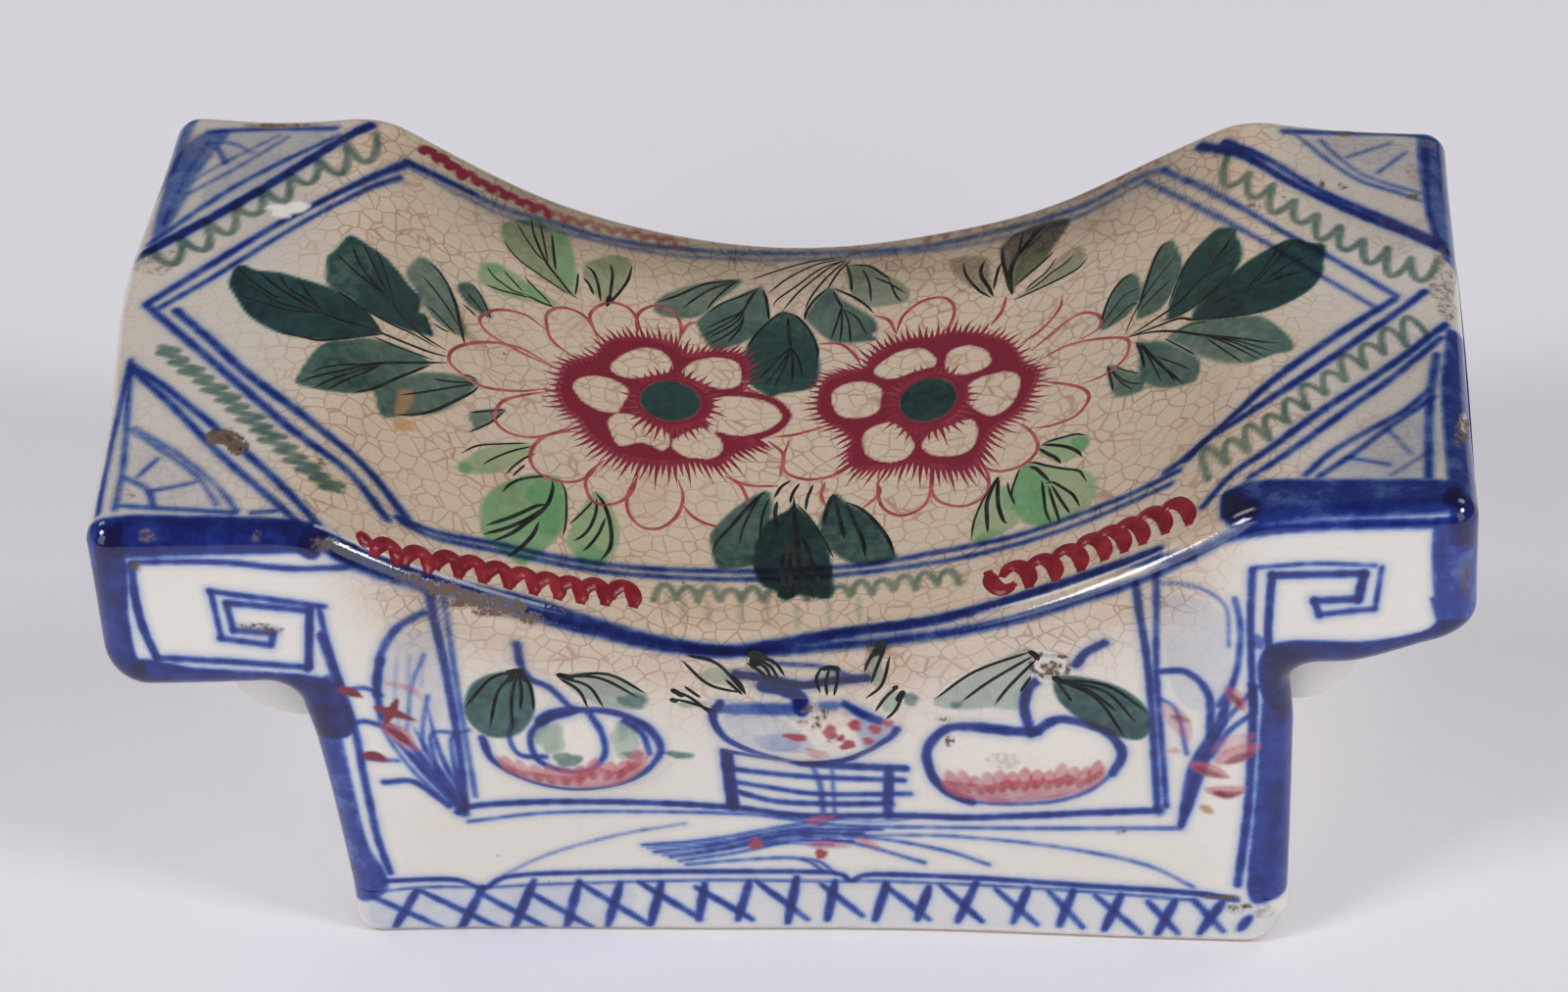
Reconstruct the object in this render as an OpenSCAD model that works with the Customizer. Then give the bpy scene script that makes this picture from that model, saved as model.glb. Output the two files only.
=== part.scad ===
// Saddle-shaped ceramic pillow, built from clay slabs luted together along their edges.
// Millimetres, +Z up, front towards -Y, origin at the middle of the underside.

/* [Overall] */
// Length over the two overhanging ends
pillow_w = 270; // [230:1:320]
// Depth from the front face to the back face
pillow_d = 132; // [100:1:170]
// Height of the flat lands above the table
pillow_h = 110; // [104:1:135]

/* [Saddle top] */
// Thickness of the saddle slab
top_t = 9; // [6:0.5:12]
// Radius of the hollow that takes the neck
saddle_r = 148; // [130:1:165]
// Depth of the hollow below the lands
saddle_dip = 31.5; // [20:0.5:34]
// Rounding of the upper edges of the slab
lip_r = 5; // [1:0.5:6]

/* [Body walls] */
// Thickness of the panels and walls
wall_t = 7; // [5:0.5:9]
// Height of the underside of the overhanging ends
overhang_z = 73.5; // [62:0.5:76]
// Width of the base under the overhangs
base_top_w = 196; // [170:1:214]
// Width of the base where it stands on the floor slab
base_foot_w = 190; // [164:1:210]
// Rounding of the lower outer corner of each overhang
outer_corner_r = 9; // [3:0.5:14]
// Fillet of the panels in the angle under each overhang
inner_corner_r = 6; // [2:0.5:10]
// Radius of the clay roll in the angle under each overhang
roll_r = 16; // [11:0.5:24]

/* [Floor] */
// Thickness of the floor slab, whose edge shows as a plinth
floor_t = 12; // [8:0.5:16]
// Rounding of the floor slab's corners in plan
floor_corner_r = 4; // [1:0.5:8]
// Diameter of the firing vent in the floor
vent_d = 9; // [5:0.5:14]
// Distance of the vent from the middle, towards the back
vent_offset = 34; // [20:1:38]

/* [Seam coils] */
// Radius of the clay coils pressed into the inside seams
coil_r = 5; // [3:0.5:7]

/* [Front relief] */
// Distance of each fruit from the middle of the front
fruit_x = 44; // [38:0.5:50]
// Height of the left fruit's middle above the table
left_fruit_z = 51; // [44:0.5:54]
// Height of the right fruit's middle above the table
right_fruit_z = 47; // [42:0.5:54]
// Width of each fruit
fruit_w = 38; // [28:0.5:42]
// Height of each fruit
fruit_h = 22; // [16:0.5:26]
// How far the reliefs stand out of the front face
relief_t = 3; // [1.5:0.25:5]
// Width of the bowl in the middle of the front
bowl_w = 38; // [28:0.5:42]
// Height of the bowl from its foot to its mouth
bowl_h = 17; // [12:0.5:20]
// Height of the bowl's mouth above the table
bowl_mouth_z = 64; // [58:0.5:66]

/* [Hidden] */
$fn = 96;

half_w = pillow_w / 2;
half_d = pillow_d / 2;
half_top = base_top_w / 2;
half_foot = base_foot_w / 2;
panel_top_z = pillow_h - top_t;
inner_half_d = half_d - wall_t;

// The hollow is cut by a cylinder that lies along the depth of the pillow, high above it.
saddle_axis_z = pillow_h - saddle_dip + saddle_r;
under_saddle_r = saddle_r + top_t;
under_crest_angle = acos((saddle_axis_z - panel_top_z) / under_saddle_r);

relief_facets = 28;
past = 1;

glaze_beige = [0.86, 0.77, 0.66];
glaze_ivory = [0.93, 0.91, 0.86];
bare_clay = [0.80, 0.74, 0.64];
blush_pink = [0.88, 0.70, 0.68];
bowl_blue = [0.74, 0.79, 0.87];

// Square corner of side r, less the round of radius r that replaces it. It reaches past both faces.
module corner_offcut(r) {
    difference() {
        translate([-past, -past]) square(r + past);
        translate([r, r]) circle(r);
    }
}

// Turns a flat outline drawn in X and Z into a slab between two depths.
module along_depth(y_from, y_to) {
    translate([0, y_to, 0]) rotate([90, 0, 0]) linear_extrude(y_to - y_from) children();
}

// Outline of the saddle slab: two flat lands and the hollow, with the ends rounded above.
module slab_outline() {
    difference() {
        translate([-half_w, floor_t]) square([pillow_w, pillow_h - floor_t]);
        translate([0, saddle_axis_z]) circle(saddle_r);
        difference() {
            translate([-half_w - past, floor_t - past])
                square([pillow_w + 2 * past, panel_top_z - floor_t + past]);
            translate([0, saddle_axis_z]) circle(under_saddle_r);
        }
        for (side = [0, 1])
            mirror([side, 0]) translate([half_w, pillow_h]) rotate(180) corner_offcut(lip_r);
    }
}

// What rounding takes off the front edge of the hollow.
module hollow_lip() {
    translate([0, 0, saddle_axis_z])
        rotate([90, 0, 0])
        rotate_extrude()
        translate([saddle_r, half_d])
        rotate(270)
        corner_offcut(lip_r);
}

// What rounding takes off the front edge of the lands.
module land_lip() {
    translate([-half_w - past, -half_d, pillow_h])
        rotate([90, 0, 90])
        linear_extrude(pillow_w + 2 * past)
        rotate(270)
        corner_offcut(lip_r);
}

// Trapezium of the base, from the floor slab to the overhangs.
module base_outline(inset) {
    polygon([
        [-half_foot + inset, floor_t], [half_foot - inset, floor_t],
        [half_top - inset, overhang_z], [-half_top + inset, overhang_z]
    ]);
}

// Long upper part of a panel, with its lower outer corners rounded.
module block_outline() {
    difference() {
        translate([-half_w, overhang_z]) square([pillow_w, panel_top_z - overhang_z]);
        for (side = [0, 1])
            mirror([side, 0]) translate([-half_w, overhang_z]) corner_offcut(outer_corner_r);
    }
}

// Outline of the front and back panels.
module panel_outline() {
    difference() {
        union() {
            base_outline(0);
            block_outline();
            for (side = [0, 1])
                mirror([side, 0])
                    difference() {
                        translate([half_top + inner_corner_r, overhang_z])
                            rotate(180)
                            square(inner_corner_r * 2);
                        translate([half_top + inner_corner_r, overhang_z - inner_corner_r])
                            circle(inner_corner_r);
                        translate([half_top - inner_corner_r, floor_t])
                            square([inner_corner_r * 2, overhang_z - inner_corner_r - floor_t]);
                    }
        }
        translate([0, saddle_axis_z]) circle(under_saddle_r);
    }
}

// Wall that closes the end of the right overhang.
module end_wall() {
    along_depth(-inner_half_d, inner_half_d)
        intersection() {
            block_outline();
            translate([half_w - wall_t, overhang_z]) square([wall_t, panel_top_z - overhang_z]);
        }
}

// Underside of the right overhang, standing on the base wall.
module soffit() {
    along_depth(-inner_half_d, inner_half_d)
        intersection() {
            block_outline();
            translate([half_top - wall_t, overhang_z]) square([half_w - half_top, wall_t]);
        }
}

// Roll of clay in the angle under the right overhang.
module corner_roll() {
    along_depth(-inner_half_d, inner_half_d)
        difference() {
            translate([half_top, overhang_z]) circle(roll_r);
            base_outline(0);
            translate([half_top - roll_r - past, overhang_z]) square([2 * roll_r + 2 * past, roll_r + past]);
        }
}

// Wall that closes the right end of the base.
module base_wall() {
    along_depth(-inner_half_d, inner_half_d)
        difference() {
            base_outline(0);
            base_outline(wall_t);
            translate([-half_w, floor_t]) square([half_w, overhang_z - floor_t]);
        }
}

// Coil in the seam between the floor and the right base wall.
module end_coil() {
    along_depth(-inner_half_d + coil_r, inner_half_d - coil_r)
        intersection() {
            translate([half_foot - wall_t, floor_t]) circle(coil_r);
            base_outline(wall_t);
        }
}

// Coil in the seam between the floor and the front panel.
module long_coil() {
    translate([-half_foot + wall_t, -inner_half_d, floor_t])
        rotate([90, 0, 90])
        linear_extrude(base_foot_w - 2 * wall_t)
        intersection() {
            circle(coil_r);
            square(coil_r);
        }
}

// Coil in the seam between the hollow and the front panel.
module saddle_coil() {
    translate([0, 0, saddle_axis_z])
        rotate([90, 0, 0])
        rotate(270 - under_crest_angle)
        rotate_extrude(angle = 2 * under_crest_angle)
        translate([under_saddle_r, inner_half_d])
        mirror([0, 1])
        intersection() {
            circle(coil_r);
            square(coil_r);
        }
}

// Half of a flattened ball, standing out of the front face.
module relief_dome(width, height) {
    translate([0, -half_d, 0])
        intersection() {
            resize([width, 2 * relief_t, height]) sphere(d = 1, $fn = relief_facets);
            translate([-width, -2 * relief_t, -height]) cube([2 * width, 2 * relief_t, 2 * height]);
        }
}

module saddle_top() {
    color(glaze_beige)
    difference() {
        along_depth(-half_d, half_d) slab_outline();
        for (depth_side = [0, 1])
            mirror([0, depth_side, 0]) {
                hollow_lip();
                land_lip();
            }
    }
}

module front_panel() {
    color(glaze_ivory) along_depth(-half_d, -inner_half_d) panel_outline();
}

module back_panel() {
    color(glaze_ivory) along_depth(inner_half_d, half_d) panel_outline();
}

module left_end_wall() {
    color(glaze_ivory) mirror([1, 0, 0]) end_wall();
}

module right_end_wall() {
    color(glaze_ivory) end_wall();
}

module left_soffit() {
    color(glaze_ivory) mirror([1, 0, 0]) soffit();
}

module right_soffit() {
    color(glaze_ivory) soffit();
}

module left_corner_roll() {
    color(glaze_ivory) mirror([1, 0, 0]) corner_roll();
}

module right_corner_roll() {
    color(glaze_ivory) corner_roll();
}

module left_base_wall() {
    color(glaze_ivory) mirror([1, 0, 0]) base_wall();
}

module right_base_wall() {
    color(glaze_ivory) base_wall();
}

module base_floor() {
    color(bare_clay)
    difference() {
        linear_extrude(floor_t)
            difference() {
                translate([-half_foot, -half_d]) square([base_foot_w, pillow_d]);
                for (x_side = [0, 1], y_side = [0, 1])
                    mirror([x_side, 0])
                    mirror([0, y_side])
                    translate([-half_foot, -half_d])
                    corner_offcut(floor_corner_r);
            }
        translate([0, vent_offset, -past]) cylinder(d = vent_d, h = floor_t + 2 * past);
    }
}

module left_fruit_relief() {
    color(blush_pink) translate([-fruit_x, 0, left_fruit_z]) relief_dome(fruit_w, fruit_h);
}

module right_fruit_relief() {
    color(blush_pink) translate([fruit_x, 0, right_fruit_z]) relief_dome(fruit_w, fruit_h);
}

module bowl_relief() {
    color(bowl_blue)
    intersection() {
        translate([0, 0, bowl_mouth_z]) relief_dome(bowl_w, 2 * bowl_h);
        translate([-bowl_w, -pillow_d, bowl_mouth_z - 2 * bowl_h]) cube([2 * bowl_w, pillow_d, 2 * bowl_h]);
    }
}

module front_floor_coil() {
    color(bare_clay) long_coil();
}

module back_floor_coil() {
    color(bare_clay) mirror([0, 1, 0]) long_coil();
}

module left_floor_coil() {
    color(bare_clay) mirror([1, 0, 0]) end_coil();
}

module right_floor_coil() {
    color(bare_clay) end_coil();
}

module front_saddle_coil() {
    color(bare_clay) saddle_coil();
}

module back_saddle_coil() {
    color(bare_clay) mirror([0, 1, 0]) saddle_coil();
}

saddle_top();
front_panel();
back_panel();
left_end_wall();
right_end_wall();
left_soffit();
right_soffit();
left_corner_roll();
right_corner_roll();
left_base_wall();
right_base_wall();
base_floor();
left_fruit_relief();
bowl_relief();
right_fruit_relief();
front_floor_coil();
back_floor_coil();
left_floor_coil();
right_floor_coil();
front_saddle_coil();
back_saddle_coil();
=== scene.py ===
"""A saddle-shaped ceramic pillow: glazed slabs, underglaze blue and raised enamels."""

import math

import bpy
import numpy as np
from mathutils import Matrix, Vector
from mathutils.geometry import delaunay_2d_cdt

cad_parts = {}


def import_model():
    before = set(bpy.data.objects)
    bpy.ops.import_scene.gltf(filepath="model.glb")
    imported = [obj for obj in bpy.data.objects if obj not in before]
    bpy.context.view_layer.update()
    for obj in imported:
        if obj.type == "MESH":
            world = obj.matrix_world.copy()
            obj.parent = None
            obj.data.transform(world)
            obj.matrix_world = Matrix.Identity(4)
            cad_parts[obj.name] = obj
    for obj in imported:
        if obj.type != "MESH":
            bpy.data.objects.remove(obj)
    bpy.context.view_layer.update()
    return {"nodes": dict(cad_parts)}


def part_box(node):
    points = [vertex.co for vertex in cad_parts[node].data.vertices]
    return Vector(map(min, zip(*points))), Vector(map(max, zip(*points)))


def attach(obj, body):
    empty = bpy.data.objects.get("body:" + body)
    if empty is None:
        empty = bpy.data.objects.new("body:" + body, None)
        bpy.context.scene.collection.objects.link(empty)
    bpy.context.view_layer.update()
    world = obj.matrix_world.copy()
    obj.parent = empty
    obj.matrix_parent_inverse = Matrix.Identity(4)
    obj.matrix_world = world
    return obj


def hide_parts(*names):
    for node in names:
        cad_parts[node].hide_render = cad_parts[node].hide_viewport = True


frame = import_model()

MM = 0.001
TINY = 1e-12
CLOSE = 1e-6
FAR_AWAY = 1e6
QUARTER_TURN = math.pi / 2


def node_box(node):
    """A node's lowest and highest corners, in millimetres."""
    low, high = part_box(node)
    return np.array(low) / MM, np.array(high) / MM


# Sizes read from the frame, in millimetres
top_low, top_high = node_box("saddle_top")
panel_low, panel_high = node_box("front_panel")
HALF_W, HALF_D, HEIGHT = top_high
FLOOR_T = panel_low[2]
SEAM_Z = panel_high[2]
SLAB_T = HEIGHT - SEAM_Z
WALL_T = HALF_D + panel_high[1]
INNER_D = HALF_D - WALL_T
SADDLE_DIP = SEAM_Z - top_low[2]
OVERHANG_Z = node_box("right_soffit")[0][2]
HALF_TOP = node_box("right_base_wall")[1][0]
HALF_FOOT = node_box("base_floor")[1][0]
ROLL_R = OVERHANG_Z - node_box("right_corner_roll")[0][2]

# Sizes that the boxes don't give, in millimetres
SADDLE_R = 148
CREST_R = 22
LIP_R = 5
OUTER_CORNER_R = 9
INNER_CORNER_R = 6
FOOT_EDGE_R = 2
VENT_R = 4.5
VENT_Y = 34

# How finely the surfaces are divided, in millimetres
TOP_STEP = 0.66
PANEL_STEP = 0.52
END_STEP = 0.9
FLOOR_STEP = 0.6
ROLL_STEP = 1.4

# Where the top's flat part ends along and across it, and its lip begins
FLAT_U = HALF_W - LIP_R
FLAT_V = HALF_D - LIP_R

# The camera, read from the photograph's corners
PHOTO_W = 1600
PHOTO_H = 1012
FOCAL_PX = 5600
CAMERA_TILT = math.radians(39.42)
CAMERA_ROLL = math.radians(-0.26)
CAMERA_AT = np.array([-3.8, -887.2, 791.8])
SENSOR_MM = 36

FORWARD = np.array([0, math.cos(CAMERA_TILT), -math.sin(CAMERA_TILT)])
LEVEL_UP = np.array([0, math.sin(CAMERA_TILT), math.cos(CAMERA_TILT)])
LEVEL_RIGHT = np.array([1.0, 0, 0])
RIGHT = math.cos(CAMERA_ROLL) * LEVEL_RIGHT + math.sin(CAMERA_ROLL) * LEVEL_UP
UP = math.cos(CAMERA_ROLL) * LEVEL_UP - math.sin(CAMERA_ROLL) * LEVEL_RIGHT


def project(points):
    """Photograph pixels of points in space."""
    offset = points - CAMERA_AT
    depth = offset @ FORWARD
    across = PHOTO_W / 2 + FOCAL_PX * (offset @ RIGHT) / depth
    down = PHOTO_H / 2 - FOCAL_PX * (offset @ UP) / depth
    return np.stack([across, down], axis=-1)


def ease(value):
    """Smooth step from 0 to 1."""
    t = np.clip(value, 0, 1)
    return t * t * (3 - 2 * t)


def after(value, start, over):
    """Smooth step that begins at a start and is full so much further on."""
    return ease((value - start) / over)


def before(value, end, over):
    """Smooth step that has gone at an end and is full so much below it."""
    return ease((end - value) / over)


def lengths_along(points):
    """How far along its line each point lies."""
    return np.concatenate([[0], np.cumsum(np.linalg.norm(np.diff(points, axis=0), axis=1))])


def unit(vectors):
    """The same directions with a length of 1."""
    length = np.linalg.norm(vectors, axis=-1, keepdims=True)
    return vectors / np.maximum(length, TINY)


# Shape of the body

CREST_X = math.sqrt((SADDLE_R + CREST_R) ** 2 - (SADDLE_R - SADDLE_DIP + CREST_R) ** 2)
HOLLOW_X = CREST_X * SADDLE_R / (SADDLE_R + CREST_R)
AXIS_Z = HEIGHT - SADDLE_DIP + SADDLE_R


def saddle(x):
    """Height and slope of the top surface: the hollow, the soft crest, then the flat land."""
    ax = np.abs(x)
    inner = np.minimum(ax, HOLLOW_X)
    hollow_root = np.sqrt(SADDLE_R ** 2 - inner ** 2)
    past = np.clip(ax - CREST_X, HOLLOW_X - CREST_X, 0)
    crest_root = np.sqrt(CREST_R ** 2 - past ** 2)
    hollow = ax < HOLLOW_X
    height = np.where(hollow, AXIS_Z - hollow_root, HEIGHT - CREST_R + crest_root)
    slope = np.where(hollow, inner / hollow_root, -past / crest_root)
    return height, slope * np.sign(x)


# The kiln's lean, twist and slump, in millimetres
LEAN_BASE = 3.0
LEAN_FRONT = -7.3
FOOT_TWIST = -3.4
FOOT_BOW = 2.3
FOOT_FORWARD = -2.6
BACK_REACH = 2.6
BACK_TILT = -1.9
FRONT_TILT = 2.4
TWIST_HEIGHT = 50
LEFT_SWELL = 3.9
SWELL_AT = 12
SWELL_HALF = 32
OVERHANG_SAG = 4.5
RIGHT_CURL = 6.0

# Where a movement begins or ends, and over what length it grows, in millimetres
SPREAD_ABOVE = (55, 20)
SPREAD_OUTWARDS = (60, 40)
SWELL_OUTWARDS = (90, 45)
SAG_OUTWARDS = (88, 8)
SAG_BELOW = (100, 26)
SAG_ABOVE = (35, 35)
CURL_OUTWARDS = (108, 24)
CURL_BELOW = (96, 22)

# Slow ripples of the skin: their height, and for each way that they move it two lengths with their shifts
RIPPLE = 0.3
RIPPLE_X = (13, 1.1, 17, 0.4)
RIPPLE_Y = (15, 0.3, 11, 2.0)
RIPPLE_Z = (12, 2.2, 14, 0.8)

# How far the foot's right front corner is worn inwards and upwards, and how far the wear reaches
FOOT_WEAR = (3.2, 2.0)
WEAR_REACH = 9
WEAR_FRONT = (0.88, 0.12)

# How far each end spreads towards the front, at its base and at its overhang
LEFT_SPREAD = (0.5, 1.9)
RIGHT_SPREAD = (2.3, 0.7)

# Swellings along the back edge: where along the slab, how high and how far to each side
BACK_CRESTS = ((-132, 1.5, 12), (-82, 3.5, 22), (35, 1.4, 25), (76, 5.2, 24))


def ripple(one, two, waves):
    """A low swell that waves along two axes."""
    length_one, shift_one, length_two, shift_two = waves
    return RIPPLE * np.sin(one / length_one + shift_one) * np.sin(two / length_two + shift_two)


def warp(points):
    """Points of the true body, moved as the kiln moved them."""
    x, y, z = points.T
    front_share = (HALF_D - y) / (2 * HALF_D)
    back_share = (1 - front_share) ** 2
    across = x / HALF_W
    aside = np.abs(x)
    rise = ease(z / TWIST_HEIGHT)
    upper = after(z, *SPREAD_ABOVE)
    left_spread = -np.interp(upper, (0, 1), LEFT_SPREAD)
    spread = np.where(x > 0, np.interp(upper, (0, 1), RIGHT_SPREAD), left_spread)
    swell = LEFT_SWELL * np.exp(-((y - SWELL_AT) / SWELL_HALF) ** 2)
    worn = after(x, HALF_FOOT - WEAR_REACH, WEAR_REACH) * before(z, WEAR_REACH, WEAR_REACH)
    worn = worn * after(front_share, *WEAR_FRONT)
    dx = LEAN_BASE + LEAN_FRONT * front_share * z / HEIGHT
    dx = dx + spread * front_share * after(aside, *SPREAD_OUTWARDS)
    dx = dx - swell * after(-x, *SWELL_OUTWARDS)
    dx = dx + ripple(y, z, RIPPLE_X) - FOOT_WEAR[0] * worn
    foot = FOOT_TWIST * across + FOOT_BOW * (1 - (x / HALF_FOOT) ** 2) + FOOT_FORWARD
    dy = foot * front_share * (1 - rise) + BACK_REACH * back_share + ripple(x, z, RIPPLE_Y)
    sag = after(aside, *SAG_OUTWARDS) * before(z, *SAG_BELOW) * after(z, *SAG_ABOVE)
    tilt = BACK_TILT + (FRONT_TILT - BACK_TILT) * front_share
    dz = across * tilt * rise - OVERHANG_SAG * sag
    dz = dz + RIGHT_CURL * after(x, *CURL_OUTWARDS) * before(z, *CURL_BELOW)
    dz = dz + ripple(x, y, RIPPLE_Z) * rise + FOOT_WEAR[1] * worn
    for at, height, half in BACK_CRESTS:
        dz = dz + height * np.exp(-((x - at) / half) ** 2) * back_share * rise
    return np.stack([x + dx, y + dy, z + dz], axis=-1)


def top_ideal(coords):
    """The slab's skin: coords run along the top and on over its rounded lips."""
    u, v = coords.T
    over_u = np.maximum(np.abs(u) - FLAT_U, 0)
    over_v = np.maximum(np.abs(v) - FLAT_V, 0)
    over = np.maximum(over_u, over_v)
    share = np.minimum(over_u, over_v) / np.maximum(over, TINY)
    turn = np.where(over_u >= over_v, share, 2 - share) * math.pi / 4
    bend = np.minimum(over / LIP_R, QUARTER_TURN)
    out = LIP_R * np.sin(bend)
    drop = LIP_R * (1 - np.cos(bend)) + np.maximum(over - LIP_R * QUARTER_TURN, 0)
    core = np.clip(u, -FLAT_U, FLAT_U)
    height, slope = saddle(core)
    tilt = 1 / np.sqrt(1 + slope ** 2)
    x = core + np.sign(u) * out * np.cos(turn) + drop * slope * tilt
    y = np.clip(v, -FLAT_V, FLAT_V) + np.sign(v) * out * np.sin(turn)
    return np.stack([x, y, height - drop * tilt], axis=-1)


def top_coords_below(x, z):
    """Coords along the slab of points on the front plane, and how far they lie below the top."""
    reach = np.hypot(x, AXIS_Z - z)
    u = x * SADDLE_R / reach
    drop = reach - SADDLE_R
    land = np.abs(u) > HOLLOW_X
    u = np.where(land, x, u)
    drop = np.where(land, HEIGHT - z, drop)
    return u, drop


LIP_LENGTH = LIP_R * QUARTER_TURN + SLAB_T - LIP_R
TOP_U = FLAT_U + LIP_LENGTH
TOP_V = FLAT_V + LIP_LENGTH


class Relief:
    """A moulded fruit or bowl: a soft-edged dome on the front, fullest near its foot."""

    FULLNESS = 1.4
    EDGE = 1.15
    FALL = 0.45
    FALL_FROM = (-0.2, 1.2)

    def __init__(self, node):
        low, high = node_box(node)
        self.node = node
        self.middle = (low + high)[[0, 2]] / 2
        self.half = (high - low)[[0, 2]] / 2
        self.depth = -HALF_D - low[1]

    def height(self, x, z):
        a = (x - self.middle[0]) / self.half[0]
        b = (z - self.middle[1]) / self.half[1]
        dome = np.clip(1 - (a * a + b * b) ** self.FULLNESS, 0, 1) ** self.EDGE
        return self.depth * dome * (1 - self.FALL * after(b, *self.FALL_FROM))


reliefs = [Relief(name) for name in ("left_fruit_relief", "bowl_relief", "right_fruit_relief")]


def front_ideal(coords):
    x, z = coords.T
    proud = sum(relief.height(x, z) for relief in reliefs)
    return np.stack([x, -HALF_D - proud, z], axis=-1)


def back_ideal(coords):
    a, z = coords.T
    return np.stack([-a, np.full_like(a, HALF_D), z], axis=-1)


# Painting

# Softness of the inks' edges, and the blue's halo, in millimetres
COBALT_SOFT = 0.58
TOP_COBALT_SOFT = 0.74
ENAMEL_SOFT = 0.42
HALO_REACH = 2.2
HALO_SHARE = 0.12

# The search for a pixel's place on a face
NEWTON_STEPS = 12
NUDGE = 0.05
LONGEST_STEP = 14
LEAST_SLOPE = 0.8

# Curves: steps in millimetres and in pixels, and points between two points of an outline
CURVE_STEP = 0.8
HAIR_STEP = 0.5
PIXEL_STEP = 3.0
FINE_PIXEL_STEP = 2.0
RING_POINTS = 6

# Strokes: how much and how fast their width sways, how late they taper, where a blade's foot begins
SWAY = 0.05
SWAY_PACE = 0.9
TAPER_POWER = 3
BLADE_FOOT = 0.15

# Dabs: points round one, and the waves of its edge with their turns and shares
DAB_POINTS = 22
DAB_WAVES = ((2, 0.16), (3, 0.12), (5, 0.08))

# The smoke ink is grey smoky paint, and on the slab's top it also carries painted shade
INKS = ("cobalt", "teal", "green", "smoke_and_painted_shade", "crimson", "pink", "ochre", "wear", "chip")
ENAMELS = ("crimson", "teal", "green", "pink")


def cubic(a, b, c, d, count):
    """Points of a smooth curve from b up to c, which heeds its neighbours a and d."""
    t = np.linspace(0, 1, count, endpoint=False)[:, None]
    bow = (2 * a - 5 * b + 4 * c - d) * t ** 2 + (3 * b - a - 3 * c + d) * t ** 3
    return 0.5 * (2 * b + (c - a) * t + bow)


def spline(points, step=CURVE_STEP):
    """A smooth curve through a few points, sampled about every step."""
    p = np.asarray(points, float)
    ends = np.vstack([2 * p[0] - p[1], p, 2 * p[-1] - p[-2]])
    runs = []
    for i in range(len(p) - 1):
        count = max(2, math.ceil(np.linalg.norm(p[i + 1] - p[i]) / step))
        runs.append(cubic(*ends[i:i + 4], count))
    return np.vstack(runs + [p[-1:]])


def ring(points):
    """A closed smooth outline through a few points."""
    p = np.asarray(points, float)
    looped = np.vstack([p[-1], p, p[:2]])
    return np.vstack([cubic(*looped[i:i + 4], RING_POINTS) for i in range(len(p))])


def ellipse(middle, half, tilt=0.0, count=36):
    """Points round an ellipse, in the units that it is given in, with its tilt in degrees."""
    t = np.radians(np.linspace(0, 360, count, endpoint=False))
    a, b = half[0] * np.cos(t), half[1] * np.sin(t)
    c, s = math.cos(math.radians(tilt)), math.sin(math.radians(tilt))
    return np.stack([middle[0] + a * c - b * s, middle[1] + a * s + b * c], axis=-1)


def segment_depth(pa, pb, path, half, reach):
    """How deep each point lies inside a brush stroke. Points are sorted by their first coordinate."""
    depth = np.full(len(pa), -FAR_AWAY)
    for i in range(len(path) - 1):
        (x0, y0), (x1, y1) = path[i], path[i + 1]
        low, high = np.searchsorted(pa, [min(x0, x1) - reach, max(x0, x1) + reach])
        if low == high:
            continue
        qa, qb = pa[low:high] - x0, pb[low:high] - y0
        dx, dy = x1 - x0, y1 - y0
        t = np.clip((qa * dx + qb * dy) / max(dx * dx + dy * dy, TINY), 0, 1)
        width = half[i] + t * (half[i + 1] - half[i])
        near = width - np.hypot(qa - t * dx, qb - t * dy)
        depth[low:high] = np.maximum(depth[low:high], near)
    return depth


def within(pa, pb, outline):
    """Which points lie inside a closed outline."""
    inside = np.zeros(len(pa), bool)
    for (x0, y0), (x1, y1) in zip(outline, np.roll(outline, -1, axis=0)):
        if y0 != y1:
            crosses = (pb < y0) != (pb < y1)
            inside ^= crosses & (pa < x0 + (pb - y0) * (x1 - x0) / (y1 - y0))
    return inside


def outline_depth(pa, pb, outline, reach):
    """How deep each point lies inside a closed outline, negative outside it."""
    closed = np.vstack([outline, outline[:1]])
    edge = -segment_depth(pa, pb, closed, np.zeros(len(closed)), reach)
    return np.where(within(pa, pb, outline), np.minimum(edge, reach), -edge)


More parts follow.
